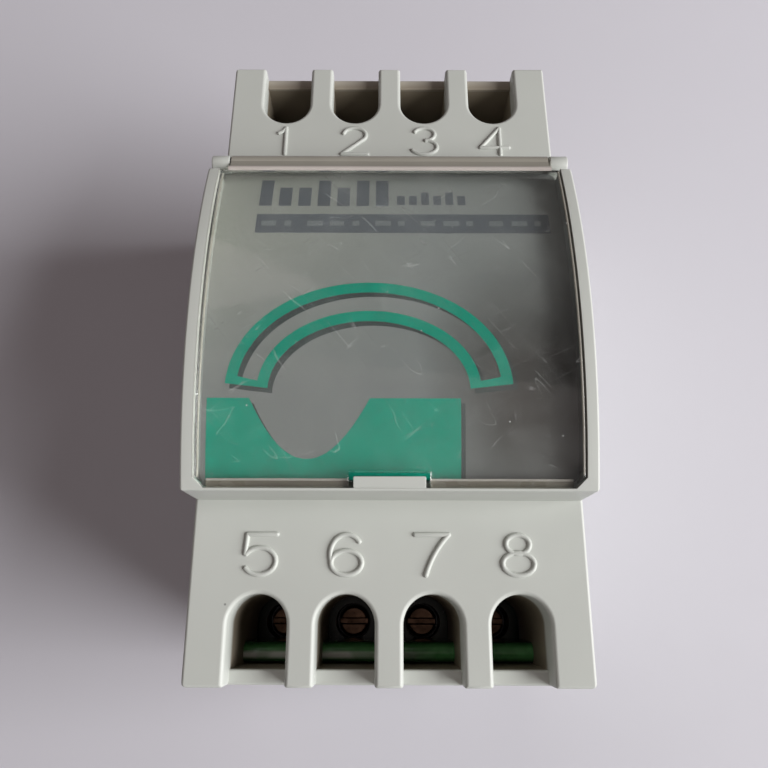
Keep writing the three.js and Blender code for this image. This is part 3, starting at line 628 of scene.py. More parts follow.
def laminate():
    """Green solder resist with the weave and a hint of tracks below it."""
    f = Finish("board_laminate", srgb(38, 98, 62), 0.34)
    cells = f.add("ShaderNodeTexBrick", {
        "Vector": f.place, "Scale": 1 / (7 * MM), "Mortar Size": 0.05, "Mortar Smooth": 0.2,
        "Color1": (0, 0, 0, 1), "Color2": (0.1, 0.1, 0.1, 1), "Mortar": (1, 1, 1, 1)})
    tracks = cells.outputs["Fac"]
    f.tint(f.mix(tracks, f.shades(6, 0.1), srgb(58, 128, 82)))
    f.gloss(2, 0.06)
    f.bump(tracks, 0.03)
    f.bump(f.noise(0.5, 2), 0.004)
    return f.material


copper_winding = wound_copper()
laminated_iron = laminations()
board_laminate = laminate()


def printed_card():
    """Grey card with painted light and shade: lighter at the far left, darker towards the near end,
    darkest at the near right.
    """
    f = Finish("printed_card", srgb(150, 152, 149), 0.5)
    x, y = f.axes().outputs[0], f.axes().outputs[1]
    # Painted light and shade: lighter towards the far left, darker towards the near end.
    left = f.mix(f.ramp(x, -20 * MM, 4 * MM), srgb(166, 167, 160), srgb(146, 149, 148))
    left = f.mix(f.ramp(y, 9 * MM, -10 * MM, 0, 0.8), left, srgb(119, 121, 122))
    # The dark patch is painted shade and a painted dark reflection; it is deepest 10 mm towards the near
    # end, and its left edge wanders by 2 mm.
    wander = f.math("ADD", x, f.ramp(f.noise(18, 2), 0.3, 0.7, -2 * MM, 2 * MM))
    rightward = f.ramp(wander, 3 * MM, 13.5 * MM)
    away = f.math("ABSOLUTE", f.math("ADD", y, 10 * MM))
    shade = f.times(rightward, f.ramp(away, 3 * MM, 18 * MM, 1, 0))
    tone = f.mix(shade, left, srgb(60, 55, 52))
    fibre = f.ramp(f.noise(0.5, 4, 0.7), 0.35, 0.65)
    f.tint(f.mix(f.times(fibre, 0.1), tone, srgb(110, 112, 110)))
    f.gloss(2, 0.05)
    f.bump(f.noise(0.4, 3), 0.005)
    return f.material


def rib_with_painted_highlight():
    """Green plastic, painted darker at the sides of its ridge, with a painted pale highlight along the
    ridge that fades towards the right.
    """
    f = Finish("terminal_rib_plastic", srgb(84, 150, 88), 0.12)
    # Painted shade: darker green at the sides of the ridge.
    green_with_shaded_sides = f.mix(inside(f, "Y", -RIB_Y - 0.5, -RIB_Y + 0.5, 0.6), srgb(40, 84, 46), f.shades(1.2, 0.15))
    # Painted highlight: a pale band along the ridge, strongest at the left.
    painted_highlight = f.times(inside(f, "Y", -RIB_Y - 0.45, -RIB_Y - 0.15, 0.4),
                    f.ramp(f.axes().outputs[0], -5 * MM, 6 * MM, 0.95, 0.0))
    patchy_highlight = f.times(painted_highlight, f.ramp(f.noise(3.5, 1), 0.35, 0.5, 0.55, 1.0))
    f.tint(f.mix(patchy_highlight, green_with_shaded_sides, srgb(244, 248, 240)))
    f.gloss(3, 0.04)
    f.bump(f.noise(1.2, 3, 0.6), 0.01)
    return f.material


def ink(name, color):
    """Flat printing ink with a hint of unevenness."""
    f = Finish(name, color, 0.5, Specular_IOR_Level=0.15)
    f.tint(f.shades(3, 0.07))
    f.gloss(1, 0.06)
    f.bump(f.noise(0.3, 3), 0.003)
    return f.material


rib_plastic = rib_with_painted_highlight()
card_paper = printed_card()
green_ink = ink("green_ink", srgb(12, 148, 124))
dark_ink = ink("dark_ink", srgb(70, 76, 76))
grey_ink = ink("grey_ink", srgb(104, 108, 114))
pale_ink = ink("pale_ink", srgb(128, 132, 135))


# Hairlines in the cover: two slants, in radians, each with the size of its noise in millimetres.
HAIRLINES = ((0.5, 2.2), (-0.9, 3))
HAIRLINE_STRETCH = 16.0
HAIRLINE_STRENGTH = 0.22


def scratches(f):
    """Broken hairlines at two slants, from the level lines of stretched noise."""
    lines = []
    for slant, size in HAIRLINES:
        turned = f.add("ShaderNodeMapping", {
            "Vector": f.place, "Rotation": (0, 0, slant), "Scale": (HAIRLINE_STRETCH, 1.0, 1.0)},
            vector_type="TEXTURE").outputs[0]
        level = f.add("ShaderNodeTexNoise", {
            "Vector": turned, "Scale": 1 / (size * MM), "Detail": 1.0}).outputs[0]
        away = f.math("ABSOLUTE", f.math("SUBTRACT", level, 0.5))
        lines.append(f.ramp(away, 0.0, 0.004, 1, 0))
    some = f.ramp(f.noise(4, 2), 0.48, 0.58, 0, HAIRLINE_STRENGTH)
    return f.times(f.math("MAXIMUM", *lines), some)


def clear_cover():
    """Clear moulded cover: faint haze, scratches and motes; lets light through to the card."""
    f = Finish("clear_cover", srgb(226, 228, 226), 0.05, IOR=1.49)
    smudge = f.noise(6, 4, 0.6, distortion=0.6)
    f.link(f.ramp(smudge, 0.4, 0.75, 0.03, 0.16), f.shader.inputs["Roughness"])
    motes = f.add("ShaderNodeTexVoronoi", {
        "Vector": f.place, "Scale": 1 / (1.9 * MM), "Randomness": 1.0})
    pick = f.add("ShaderNodeSeparateColor", {0: motes.outputs["Color"]}).outputs[0]
    mote = f.times(f.ramp(motes.outputs["Distance"], 0.03, 0.075, 1, 0),
                   f.ramp(pick, 0.6, 0.85, 0, 0.5))
    film = f.ramp(smudge, 0.35, 0.8, 0.005, 0.04)
    dull = f.math("MAXIMUM", f.math("MAXIMUM", mote, scratches(f)), film)
    f.link(f.math("SUBTRACT", 1.0, dull), f.shader.inputs["Transmission Weight"])
    fine = f.noise(0.9, 2, 0.5, stretch=(0.12, 1.0, 1.0))
    f.bump(f.ramp(fine, 0.62, 0.7), 0.003)
    f.bump(f.noise(0.7, 2, 0.5, stretch=(1.0, 0.1, 1.0)), 0.0015)
    shadow_ray = f.add("ShaderNodeLightPath").outputs["Is Shadow Ray"]
    through = f.add("ShaderNodeBsdfTransparent", {"Color": (0.8, 0.81, 0.8, 1)})
    blend = f.add("ShaderNodeMixShader")
    f.link(shadow_ray, blend.inputs[0])
    f.link(f.shader.outputs[0], blend.inputs[1])
    f.link(through.outputs[0], blend.inputs[2])
    f.link(blend.outputs[0], f.output.inputs["Surface"])
    return f.material


cover_clear = clear_cover()
# Opaque tones for the cover's small parts; the pale tones of the beads are painted highlights along the
# pane's edges.
cover_haze_and_highlight = moulded("cover_haze_and_highlight", srgb(160, 156, 146), 0.22, grain=0.8, relief=0.004, spread=0.1)
bead_painted_highlight = moulded("bead_painted_highlight", srgb(192, 184, 178), 0.2, grain=0.8, relief=0.004, spread=0.06)
skirt_haze = moulded("skirt_haze", srgb(112, 107, 95), 0.3, grain=0.8, relief=0.004, spread=0.18)

# ---------- The crowned front ----------


def crown_arc(depth, start_y, end_y, steps=56):
    radius = CROWN_RADIUS - depth
    a, b = math.acos(start_y / radius), math.acos(end_y / radius)
    angles = [a + (b - a) * i / steps for i in range(steps + 1)]
    return [(radius * math.cos(t), CROWN_Z - CROWN_RADIUS + radius * math.sin(t)) for t in angles]


def crown_band(top_depth, bottom_depth, near, far, steps=56):
    return crown_arc(bottom_depth, near, far, steps) + crown_arc(top_depth, far, near, steps)


def crown_height(y, depth=0.0):
    return CROWN_Z - CROWN_RADIUS + math.sqrt((CROWN_RADIUS - depth) ** 2 - y * y)


def shoulder_height(y):
    return SHOULDER_Z - SHOULDER_DROP * (abs(y) - HALF_NOSE) / (HALF_LENGTH - HALF_NOSE)


def across(half):
    return (-half, half)


def span(side, inner, outer):
    return (inner, outer) if side > 0 else (-outer, -inner)


# ---------- Front housing ----------


def slot_outline(x, side, outer_y, grow):
    radius = SLOT_RADIUS + grow
    arc = [math.pi * i / 30 for i in range(31)]
    rim = [(x + radius * math.cos(a), side * (TERMINAL_Y - radius * math.sin(a))) for a in arc]
    return [(x - radius, side * outer_y), (x + radius, side * outer_y), *rim]


def rounded_box(u, v, corner, steps=5):
    points = []
    centres = [(u[1] - corner, v[0] + corner, -90), (u[1] - corner, v[1] - corner, 0),
               (u[0] + corner, v[1] - corner, 90), (u[0] + corner, v[0] + corner, 180)]
    for cu, cv, start in centres:
        for i in range(steps + 1):
            a = math.radians(start + 90 * i / steps)
            points.append((cu + corner * math.cos(a), cv + corner * math.sin(a)))
    return points


def ledge_height(side):
    return FAR_LEDGE_Z if side > 0 else SLOT_LEDGE_Z


def corner_plan(side, half, near_y, size):
    """The triangle that cuts off a near corner of the window, in plan."""
    tip = side * half
    return [(tip + side * 0.3, near_y - 0.3), (tip - side * (size + 0.3), near_y - 0.3),
            (tip + side * 0.3, near_y + size + 0.3)]


def window_recess():
    """The hollow that the card and the cover lie in, with its near corners cut off."""
    band = crown_band(-2, RECESS_DEPTH, NEAR_EDGE, RECESS_FAR_Y + 0.01)
    half = HALF_WIDTH - RAIL_STRIP
    corners = [prism(corner_plan(side, half, NEAR_EDGE, CORNER), "z", SHOULDER_Z, CROWN_Z + 4)
               for side in (-1, 1)]
    return combine(prism(band, "x", *across(half)), cut(gather(corners)))


def housing_mesh():
    outline = [(-HALF_LENGTH, JOIN_Z), (-HALF_LENGTH, SHOULDER_Z - SHOULDER_DROP),
               (-HALF_NOSE, SHOULDER_Z), *crown_arc(0, -HALF_NOSE, HALF_NOSE),
               (HALF_NOSE, SHOULDER_Z), (HALF_LENGTH, SHOULDER_Z - SHOULDER_DROP),
               (HALF_LENGTH, JOIN_Z)]
    cavity = [(NOSE_INSIDE_Y, ROOF_Z - 1), (-NOSE_INSIDE_Y, ROOF_Z - 1),
              *crown_arc(RECESS_DEPTH + RECESS_FLOOR, -NOSE_INSIDE_Y, RECESS_FAR_Y - 1.6, 20),
              (NOSE_INSIDE_Y, HINGE_CHANNEL_Z - RECESS_FLOOR)]
    steps = [
        cut(block(across(INSIDE_X), across(INSIDE_Y), (JOIN_Z - 1, ROOF_Z))),
        cut(prism(cavity, "x", *across(INSIDE_X))),
    ]
    wells, ledges, wires = [], [], []
    for side in (1, -1):
        for x in TERMINAL_XS:
            boot = slot_outline(x, side, INSIDE_Y + 0.55, SLOT_WALL)
            steps.append(join(prism(boot, "z", WELL_BOTTOM_Z, WELL_WALL_TOP_Z)))
            wells.append(prism(slot_outline(x, side, INSIDE_Y, 0), "z", WELL_BOTTOM_Z - 1,
                               SHOULDER_Z + 1))
            ledges.append(block((x - SLOT_RADIUS, x + SLOT_RADIUS),
                                span(side, INSIDE_Y - 0.2, HALF_LENGTH + 1),
                                (ledge_height(side), SHOULDER_Z + 1)))
            hole = rounded_box((x - WIRE_HALF, x + WIRE_HALF), WIRE_Z, WIRE_CORNER)
            wires.append(prism(hole, "y", *span(side, INSIDE_Y - 1, HALF_LENGTH + 1)))
    steps += [cut(gather(wells)), cut(gather(ledges)), cut(gather(wires))]

    steps.append(cut(window_recess()))
    steps.append(cut(block(across(HALF_WIDTH + 1), (RECESS_FAR_Y, HALF_NOSE + 1),
                           (HINGE_CHANNEL_Z, CROWN_Z + 1))))
    ear_top = [(HINGE_Y - EAR_RADIUS * math.cos(a), HINGE_Z + EAR_RADIUS * math.sin(a))
               for a in [math.pi * i / 16 for i in range(17)]]
    ear = [(HINGE_Y + EAR_RADIUS, HINGE_CHANNEL_Z - 0.5), (HINGE_Y - EAR_RADIUS, HINGE_CHANNEL_Z - 0.5),
           *ear_top]
    ears = [prism(ear, "x", *span(side, HALF_WIDTH - EAR_WIDTH, HALF_WIDTH)) for side in (-1, 1)]
    steps.append(join(gather(ears)))
    steps.append(cut(prism(circle(HINGE_Y, HINGE_Z, PIN_HOLE_RADIUS, 20), "x",
                           *across(PIN_HOLE_HALF))))
    tab = crown_band(0.05, RECESS_DEPTH + 0.3, NEAR_EDGE - 0.15, NEAR_EDGE + TAB_DEPTH, 6)
    steps.append(join(prism(tab, "x", *across(TAB_HALF))))
    shelves, catches = [], []
    for side in (-1, 1):
        for end in (-1, 1):
            shelves.append(block(span(side, INSIDE_X - SHELF_DEPTH, INSIDE_X + 0.2),
                                 span(end, *SHELF_Y), SHELF_Z))
            catches.append(block(span(side, INSIDE_X - 0.5, HALF_WIDTH + 0.5),
                                 (end * CATCH_Y - CATCH_HALF, end * CATCH_Y + CATCH_HALF), CATCH_Z))
    steps += [join(gather(shelves)), cut(gather(catches))]
    return combine(prism(outline, "x", *across(HALF_WIDTH)), *steps)


def near(value, target, slack=0.03):
    return abs(value - target) < slack


# Radii of the housing's edges.
UPRIGHT_ROUND, JOIN_ROUND, CATCH_ROUND, NOSE_CORNER_ROUND = 0.55, 0.12, 0.15, 0.35
SHOULDER_SIDE_ROUND, SHOULDER_END_ROUND, SLOT_RIM_ROUND = 0.4, 0.35, 0.5
SLOT_MOUTH_ROUND, LEDGE_ROUND, WIRE_ROUND = 0.3, 0.25, 0.25
CHANNEL_ROUND, STRIP_ROUND, NOSE_SIDE_ROUND = 0.18, 0.3, 0.35
LIP_ROUND, WINDOW_ROUND, TAB_ROUND = 0.13, 0.07, 0.18


def housing_rule(mid, a, b, bend):
    """The radius of each outer edge of the housing; inner edges stay sharp."""
    if bend < 0:
        return 0
    x, y, z = abs(mid.x), abs(mid.y), mid.z
    side = near(x, HALF_WIDTH)
    end = near(y, HALF_LENGTH)
    if side and end:
        return UPRIGHT_ROUND
    if near(z, JOIN_Z):
        return JOIN_ROUND
    on_top = all(near(v.z, shoulder_height(v.y), 0.02) and abs(v.y) > HALF_NOSE - 0.1 for v in (a, b))
    if on_top:
        if side:
            return SHOULDER_SIDE_ROUND
        if end:
            return SHOULDER_END_ROUND
        if y > SLOT_END_Y - 0.9:
            return SLOT_RIM_ROUND
        return 0
    if end and z > SLOT_LEDGE_Z - 0.1:
        return SLOT_MOUTH_ROUND
    if near(z, ledge_height(mid.y)) and y > INSIDE_Y - 0.3:
        return LEDGE_ROUND
    if end and WIRE_Z[0] - 0.2 < z < WIRE_Z[1] + 0.4:
        return WIRE_ROUND
    if side and z < CATCH_Z[1] + 0.4:
        return CATCH_ROUND
    if z > HINGE_CHANNEL_Z - 0.1 and y < HALF_NOSE + 0.05:
        on_crown = near(z, crown_height(mid.y), 0.06)
        if mid.y > RECESS_FAR_Y + 0.05:
            return CHANNEL_ROUND
        if side:
            return STRIP_ROUND if on_crown else NOSE_SIDE_ROUND
        if near(mid.y, -HALF_NOSE):
            return LIP_ROUND
        if on_crown:
            return WINDOW_ROUND
        if near(mid.y, NEAR_EDGE + TAB_DEPTH, 0.1) or near(x, TAB_HALF):
            return TAB_ROUND
        return 0
    if side and near(y, HALF_NOSE):
        return NOSE_CORNER_ROUND
    return 0


def in_hinge_channel(centre):
    """Whether a face lies in the channel at the far edge of the window."""
    return centre.y > RECESS_FAR_Y + 0.1 and centre.z > HINGE_CHANNEL_Z - 0.1


add_piece("front_housing_moulding", rounded(housing_mesh(), housing_rule, split=in_hinge_channel),
          "housing", housing_plastic, ["front_housing"], sharp=42)

# ---------- Raised numbers ----------


def ellipse(u, v, ru, rv, start, end, steps=18):
    angles = [math.radians(start + (end - start) * i / steps) for i in range(steps + 1)]
    return [(u + ru * math.cos(a), v + rv * math.sin(a)) for a in angles]


def curve(p, q, r, steps=10):
    """A smooth bend from p to r that leans towards q."""
    points = []
    for i in range(steps + 1):
        t = i / steps
        points.append(tuple((1 - t) ** 2 * a + 2 * t * (1 - t) * b + t * t * c
                            for a, b, c in zip(p, q, r)))
    return points


TOP = 4.45
STROKE = 0.29
FAR_FOOT, NEAR_FOOT = 26.3, -29.85
# The strokes of each number, with its foot at v = 0 and its middle at u = 0.
DIGITS = {
    1: [[(-0.85, 3.55), (-0.3, 3.8), (0.15, TOP - 0.05)], [(0.15, TOP), (0.15, 0)]],
    2: [ellipse(0, 3.2, 1.6, 1.25, 165, -28) + [(-1.75, 0)], [(-1.75, 0), (1.85, 0)]],
    3: [ellipse(0, 3.36, 1.45, 1.09, 155, -82), ellipse(-0.05, 1.2, 1.8, 1.2, 82, -155)],
    4: [[(0.75, TOP), (-1.95, 1.15)], [(-1.95, 1.15), (1.95, 1.15)], [(0.75, TOP), (0.75, 0)]],
    5: [[(1.85, TOP), (-1.5, TOP)], [(-1.5, TOP), (-1.68, 2.3)],
        ellipse(0, 1.48, 1.85, 1.48, 148, -148)],
    6: [ellipse(0.05, 2.25, 1.85, 2.2, 40, 196), ellipse(0.05, 1.32, 1.75, 1.32, 0, 360, 30)],
    7: [[(-1.9, TOP), (1.9, TOP)], curve((1.9, TOP), (0.1, 2.6), (-0.75, 0))],
    8: [ellipse(0, 3.4, 1.35, 1.05, 0, 360, 28), ellipse(0, 1.24, 1.8, 1.24, 0, 360, 30)],
}


def digit_meshes(number):
    x = TERMINAL_XS[(number - 1) % 4]
    foot = FAR_FOOT if number <= 4 else NEAR_FOOT
    meshes = []
    for path in DIGITS[number]:
        closed = len(path) > 8 and math.dist(path[0], path[-1]) < 1e-6
        flat = path[:-1] if closed else path
        line = [(x + u, foot + v, shoulder_height(foot + v)) for u, v in flat]
        meshes.append(tube(line, STROKE, 12, closed))
    return meshes


for number in range(1, 9):
    add_piece(f"terminal_number_{number}", gather(digit_meshes(number)), "housing", digit_plastic,
              sharp=60, weighted=False)

# ---------- Window cover ----------


def cover_mesh():
    pane = prism(crown_band(PANE_TOP, PANE_BOTTOM, COVER_NEAR, COVER_FAR), "x", *across(COVER_HALF))
    nips = [prism(corner_plan(side, COVER_HALF, COVER_NEAR, CORNER), "z", *THROUGH_COVER)
            for side in (-1, 1)]
    notch = block(across(NOTCH_HALF), (COVER_NEAR - 1, COVER_NEAR + TAB_DEPTH + 0.4), THROUGH_COVER)
    return combine(pane, cut(notch), cut(gather(nips)))


def skirt_meshes():
    """The wall below the pane's near edge, and the bead along the top of its inner face."""
    inner = COVER_NEAR + SKIRT_THICK
    half = COVER_HALF - CORNER
    wall_line = crown_band(PANE_BOTTOM - 0.1, SKIRT_BOTTOM, COVER_NEAR + 0.05, inner, 4)
    wall = prism(wall_line, "x", *across(half))
    bead_line = circle(inner + 0.1, crown_height(inner, PANE_BOTTOM + 0.25), SKIRT_BEAD_RADIUS, 16)
    bead = prism(bead_line, "x", *across(half))
    gap = (across(NOTCH_HALF + 0.1), (COVER_NEAR - 1, inner + 1), THROUGH_COVER)
    return [combine(part, cut(block(*gap))) for part in (wall, bead)]


def edge_beads():
    """Thin beads along the pane's two sides, under it at the left and at its top edge at the right;
    their pale tone is a painted highlight along the pane's edges.
    """
    beads = []
    for side, depth, radius in ((-1, PANE_BOTTOM + 0.12, 0.13), (1, PANE_TOP + 0.14, 0.15)):
        x = side * (COVER_HALF - 0.17)
        line = crown_arc(depth, COVER_NEAR + CORNER + 0.3, COVER_FAR - 0.3, 40)
        beads.append(tube([(x, y, z) for y, z in line], radius))
    return beads


def hinge_meshes():
    """The hinge barrel with its web, and the bead along the pane's far edge, whose pale tone is a
    painted highlight.
    """
    lip_z = crown_height(COVER_FAR, PANE_TOP)
    web = [(COVER_FAR + 0.01, lip_z - 1.3), (COVER_FAR + 0.01, lip_z - 0.25),
           (HINGE_Y - 0.2, HINGE_Z + 1.05), (HINGE_Y, HINGE_Z), (HINGE_Y - 0.9, HINGE_Z - 0.4)]
    bar = combine(
        prism(web, "x", *across(BARREL_HALF)),
        join(prism(circle(HINGE_Y, HINGE_Z, BARREL_RADIUS, 36), "x", *across(BARREL_HALF))),
        join(prism(circle(HINGE_Y, HINGE_Z, PIN_RADIUS, 20), "x", *across(PIN_HALF))))
    bead_line = circle(COVER_FAR + 0.28, lip_z - 0.15, HINGE_BEAD_RADIUS, 20)
    bead = prism(bead_line, "x", *across(BARREL_HALF))
    return bar, bead


def cover_rule(mid, a, b, bend):
    """The radius of each outer edge of the pane; its far edge, under the hinge, stays sharp."""
    if bend < 0 or mid.y > COVER_FAR - 0.02:
        return 0
    if near(mid.z, crown_height(mid.y, PANE_TOP), 0.06):
        return 0.16
    if near(mid.y, COVER_NEAR) or near(abs(mid.x), COVER_HALF):
        return 0.12
    return 0


add_piece("window_cover_pane", rounded(cover_mesh(), cover_rule, 2), "cover", cover_clear,
          ["window_cover"], sharp=30)
hinge_bar, hinge_bead = hinge_meshes()
near_skirt, skirt_bead = skirt_meshes()
# The beads' pale tones are painted highlights along the pane's edges.
hazy_and_highlight_parts = {
    "cover_hinge_bar": (hinge_bar, cover_haze_and_highlight),
    "cover_hinge_bead": (hinge_bead, bead_painted_highlight),
    "cover_near_skirt": (near_skirt, skirt_haze),
    "cover_skirt_bead": (skirt_bead, bead_painted_highlight),
    "cover_side_beads": (gather(edge_beads()), cover_haze_and_highlight),
}
for name, (mesh, material) in hazy_and_highlight_parts.items():
    add_piece(name, mesh, "cover", material, sharp=40)

# ---------- Label card and its printing ----------


def card_mesh():
    """The crowned card, with round corners and shallow turned-up edges at its two sides."""
    band = crown_band(CARD_TOP_DEPTH, CARD_TOP_DEPTH + CARD_THICK, CARD_NEAR, CARD_FAR)
    corners = rounded_box(across(CARD_HALF), (CARD_NEAR, CARD_FAR), 1.2, 6)
    flanges = [prism(crown_band(1.36, CARD_TOP_DEPTH + 0.1, CARD_NEAR + CORNER, COVER_FAR - 0.5), "x",
                     *span(side, CARD_HALF - CARD_EDGE, CARD_HALF - 0.01)) for side in (-1, 1)]
    return combine(prism(band, "x", *across(CARD_HALF)),
                   ("INTERSECT", prism(corners, "z", SHOULDER_Z, CROWN_Z + 1)),
                   join(gather(flanges)))


def printed(outline, lift=INK, hole=None):
    """An outline drawn in plan, printed on the crowned card."""
    band = crown_band(CARD_TOP_DEPTH - lift, CARD_TOP_DEPTH + 0.06, CARD_NEAR + 0.1, CARD_FAR - 0.1)
    steps = [("INTERSECT", prism(outline, "z", SHOULDER_Z, CROWN_Z + 1))]
    if hole:
        steps.append(cut(prism(hole, "z", SHOULDER_Z, CROWN_Z + 1)))
    return combine(prism(band, "x", *across(CARD_HALF - 0.1)), *steps)


def add_print(name, mesh, material):
    add_piece(name, mesh, "housing", material, sharp=30, weighted=False)


def ribbon(path, width):
    """A band of even width about a path."""
    left, right = [], []
    for i, (u, v) in enumerate(path):
        pu, pv = path[max(i - 1, 0)]
        nu, nv = path[min(i + 1, len(path) - 1)]
        length = math.hypot(nu - pu, nv - pv)
        du, dv = (nu - pu) / length, (nv - pv) / length
        left.append((u - dv * width / 2, v + du * width / 2))
        right.append((u + dv * width / 2, v - du * width / 2))
    return left + right[::-1]


def shifted(outline, du, dv):
    return [(u + du, v + dv) for u, v in outline]


add_piece("label_card_sheet", card_mesh(), "housing", card_paper, ["label_card"],
          sharp=30)

# The generic graphics: an open arch, a block with a bowl cut out of it, bars and dashes.
ARCH = (-2.3, -10.4, 13.7, 10.4)
ARCH_BAND = ribbon(ellipse(*ARCH, 3, 177, 48), 4.8)
ARCH_CORE = ribbon(ellipse(*ARCH, 7.5, 172.5, 48), 2.3)
BOWL_FOOT, BOWL_TOP = -19.9, -11.2
BOWL = [(-20.3, BOWL_FOOT), (-20.3, BOWL_TOP)]
BOWL += curve((-15.6, BOWL_TOP), (-9.4, -24.2), (-2.2, BOWL_TOP), 24)
BOWL += [(7.9, BOWL_TOP), (7.9, BOWL_FOOT)]
SHADE = (0.5, -0.55)
STRIP = ((-16.2, 19.3), (9.3, 12.15))
marks = {
    "card_mark_shadow_arch": (shifted(ARCH_BAND, *SHADE), dark_ink, SHADOW_INK,
                              shifted(ARCH_CORE, *SHADE)),
    "card_mark_arch": (ARCH_BAND, green_ink, INK, ARCH_CORE),
    "card_mark_shadow_bowl": (shifted(BOWL, *SHADE), dark_ink, SHADOW_INK, None),
    "card_mark_bowl": (BOWL, green_ink, INK, None),
    "card_strip": (rectangle(*STRIP), grey_ink, INK, None),
}
for name, (outline, material, lift, hole) in marks.items():
    add_print(name, printed(outline, lift, hole), material)


def bars(start, pitch, width, foot, heights):
    """A row of plain upright bars, standing in for a line of wording."""
    return [rectangle((start + pitch * i, start + pitch * i + width), (foot, foot + height))
            for i, height in enumerate(heights)]


title = bars(start=-16.1, pitch=2.4, width=1.55, foot=13.5, heights=[4.4, 3.1, 3.1, 4.4, 3.1, 4.4, 4.4])
title += bars(start=0.9, pitch=1.5, width=0.95, foot=13.7, heights=[1.5, 1.5, 2.1, 1.5, 2.1, 1.5])
add_print("card_title_bars", gather([printed(o) for o in title]), grey_ink)
DASH_START, DASH_PITCH, DASH_BAND = -15.5, 2.75, (10.35, 11.1)
DASH_WIDTHS = [1.7, 0.8, 1.9, 1.7, 0.8, 1.9, 0.8, 1.7, 1.9, 0.8, 1.7, 1.9, 0.8]
dashes = [rectangle((DASH_START + DASH_PITCH * i, DASH_START + DASH_PITCH * i + w), DASH_BAND)
          for i, w in enumerate(DASH_WIDTHS)]
add_print("card_strip_dashes", gather([printed(o, INK * 2) for o in dashes]), pale_ink)

# ---------- Terminal wells ----------


def rib_meshes(side):
    """Round-topped front wall of the terminal block, one stretch in each well."""
    arc = [math.pi * i / 14 for i in range(15)]
    outline = [(side * (RIB_Y + RIB_RADIUS * math.cos(a)),
                RIB_TOP - RIB_RADIUS + RIB_RADIUS * math.sin(a)) for a in arc]
    outline += [(side * (RIB_Y - RIB_RADIUS), BLOCK_TOP), (side * (RIB_Y + RIB_RADIUS), BLOCK_TOP)]
    half = SLOT_RADIUS - 0.02
    return [prism(outline, "x", x - half, x + half) for x in TERMINAL_XS]


for ends, side in (("1_to_4", 1), ("5_to_8", -1)):
    add_piece(f"terminal_rib_{ends}", gather(rib_meshes(side)), "housing", rib_plastic,
              sharp=40)

# ---------- Springs ----------


def helix(centre, axis, radius, start, length, turns, wire):
    """A compression spring whose end turns lie a little closer together."""
    points = []
    total = 28 * turns
    for i in range(total + 1):
        t = i / total
        a = 2 * math.pi * turns * t
        ease = t - 0.175 / turns * math.sin(2 * math.pi * t)
        along = start + length * ease
        u, v = radius * math.cos(a), radius * math.sin(a)
        if axis == "y":
            points.append((centre[0] + u, along, centre[2] + v))
        else:
            points.append((centre[0] + u, centre[1] + v, along))
    return tube(points, wire / 2)


def box_mm(name):
    low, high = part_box(name)
    return [v / MM for v in low], [v / MM for v in high]


def add_spring(name, node, axis, wire, turns):
    """A spring in place of its CAD node."""
    low, high = box_mm(node)
    middle = [(a + b) / 2 for a, b in zip(low, high)]
    k = "xyz".index(axis)
    radius = (high[0] - low[0]) / 2 - wire / 2
    mesh = helix(middle, axis, radius, low[k] + wire / 2, high[k] - low[k] - wire, turns, wire)
    piece = add_piece(name, mesh, None, spring_steel, [node], sharp=60,
                      weighted=False)
    for value in (low[k], high[k]):
        point = list(middle)
        point[k] = value
    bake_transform(piece)


add_spring("clip_return_spring", "clip_spring", "y", 0.5, 5)
add_spring("armature_return_spring", "relay_armature_spring", "z", 0.35, 7)

# ---------- CAD nodes that keep their shape ----------

refine("rear_base", base_plastic, 0.2)
refine("din_clip", clip_plastic, 0.2)
for ends in ("1_to_4", "5_to_8"):
    refine(f"terminal_block_{ends}", block_plastic, 0.25, 3, pierced=True)
for n in range(1, 9):
    refine(f"terminal_screw_{n}", screw_metal, 0.12, 3)
    refine(f"terminal_cage_{n}", nickel, 0.12, pierced=True)
    refine(f"terminal_strip_{n}", brass, 0.1)
refine("power_board", board_laminate, 0.1, pierced=True)
refine("logic_board", board_laminate, 0.1)
refine("board_link", black_plastic, 0.08, pierced=True)
refine("relay_base", black_plastic, 0.15)
refine("relay_case", relay_blue, 0.3, 3, pierced=True)
refine("relay_bobbin", bobbin_plastic, 0.12)
refine("relay_winding", copper_winding, 0.3, 3)
refine("relay_core", soft_iron, 0.12)
refine("relay_yoke", soft_iron, 0.12)
refine("relay_armature", soft_iron, 0.1)
refine("relay_moving_contact", copper_alloy, 0.06)
refine("relay_rest_contact", brass, 0.06)
refine("relay_working_contact", brass, 0.06)
refine("transformer_core", laminated_iron, 0.15, pierced=True)
refine("transformer_bobbin", bobbin_plastic, 0.15, pierced=True)
refine("transformer_primary", copper_winding, 0.4, 3, pierced=True)
refine("transformer_secondary", copper_winding, 0.4, 3, pierced=True)
refine("filter_capacitor", sleeve_black, 0.3, 3)
refine("suppression_capacitor", film_yellow, 0.3, 3)
refine("fuse", black_plastic, 0.2)
refine("varistor", varistor_blue, 0.4, 3)
refine("bridge_rectifier", black_plastic, 0.15)
refine("crystal", can_metal, 0.25, 3)
refine("controller_chip", black_plastic, 0.08, pierced=True)
refine("optocoupler", black_plastic, 0.08)

# ---------- Floor and light ----------

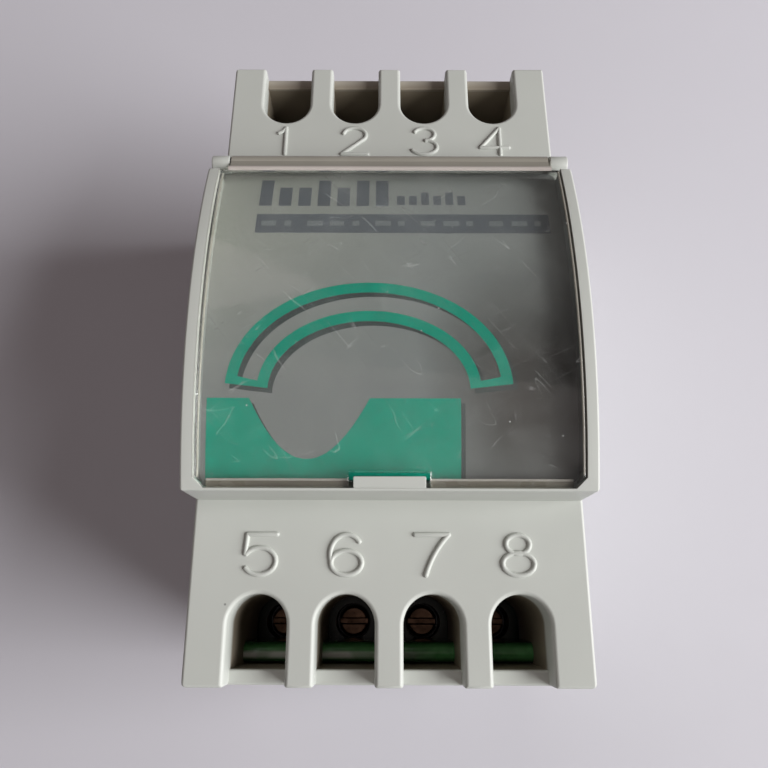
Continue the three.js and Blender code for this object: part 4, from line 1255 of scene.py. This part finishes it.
FLOOR_HALF = 1600
FLOOR_GAP = 0.02


def add_floor():
    """A pale table just below the object, with painted light: a little lighter towards the far end."""
    f = Finish("pale_table", srgb(214, 212, 220), 0.7)
    far = f.ramp(f.axes().outputs[1], -120 * MM, 160 * MM)
    f.tint(f.mix(far, srgb(207, 205, 212), srgb(221, 219, 227)))
    f.gloss(8, 0.05)
    f.bump(f.noise(1.2, 3), 0.01)
    bm = bmesh.new()
    z = cad_low[2] - FLOOR_GAP * MM
    outline = rectangle(across(FLOOR_HALF), across(FLOOR_HALF))
    bm.faces.new([bm.verts.new((x * MM, y * MM, z)) for x, y in outline])
    mesh = mesh_of(bm, "table")
    mesh.materials.append(f.material)
    table = bpy.data.objects.new("table", mesh)
    bpy.context.scene.collection.objects.link(table)


def add_light(name, location, target, size, power, color):
    data = bpy.data.lights.new(name, "AREA")
    data.shape = "RECTANGLE"
    data.size, data.size_y = size
    data.energy = power
    data.color = color
    light = bpy.data.objects.new(name, data)
    light.location = location
    heading = Vector(target) - Vector(location)
    light.rotation_euler = heading.to_track_quat("-Z", "Y").to_euler()
    bpy.context.scene.collection.objects.link(light)


def add_world():
    world = bpy.data.worlds.new("soft_room")
    world.use_nodes = True
    tree = world.node_tree
    background = tree.nodes["Background"]
    background.inputs["Color"].default_value = (1.0, 0.82, 0.8, 1)
    background.inputs["Strength"].default_value = 0.06
    bpy.context.scene.world = world


add_floor()
add_light("window_light", (0.94, -0.23, 0.56), (0, 0, 0.02), (0.78, 0.78), 18.5, (1.0, 1.0, 1.0))
add_light("ceiling_light", (-0.1, -0.3, 0.9), (0, 0, 0.02), (0.8, 0.8), 0.55, (1.0, 0.87, 0.84))
add_light("wall_light", (-0.42, 0.5, 0.85), (0, 0, 0.02), (0.5, 0.5), 0.45, (1.0, 0.88, 0.86))
add_light("front_light", (0.1, -0.8, 0.3), (0, 0, 0.03), (0.6, 0.4), 0.35, (1.0, 0.98, 0.96))
add_world()
bpy.context.scene.view_settings.view_transform = "Standard"
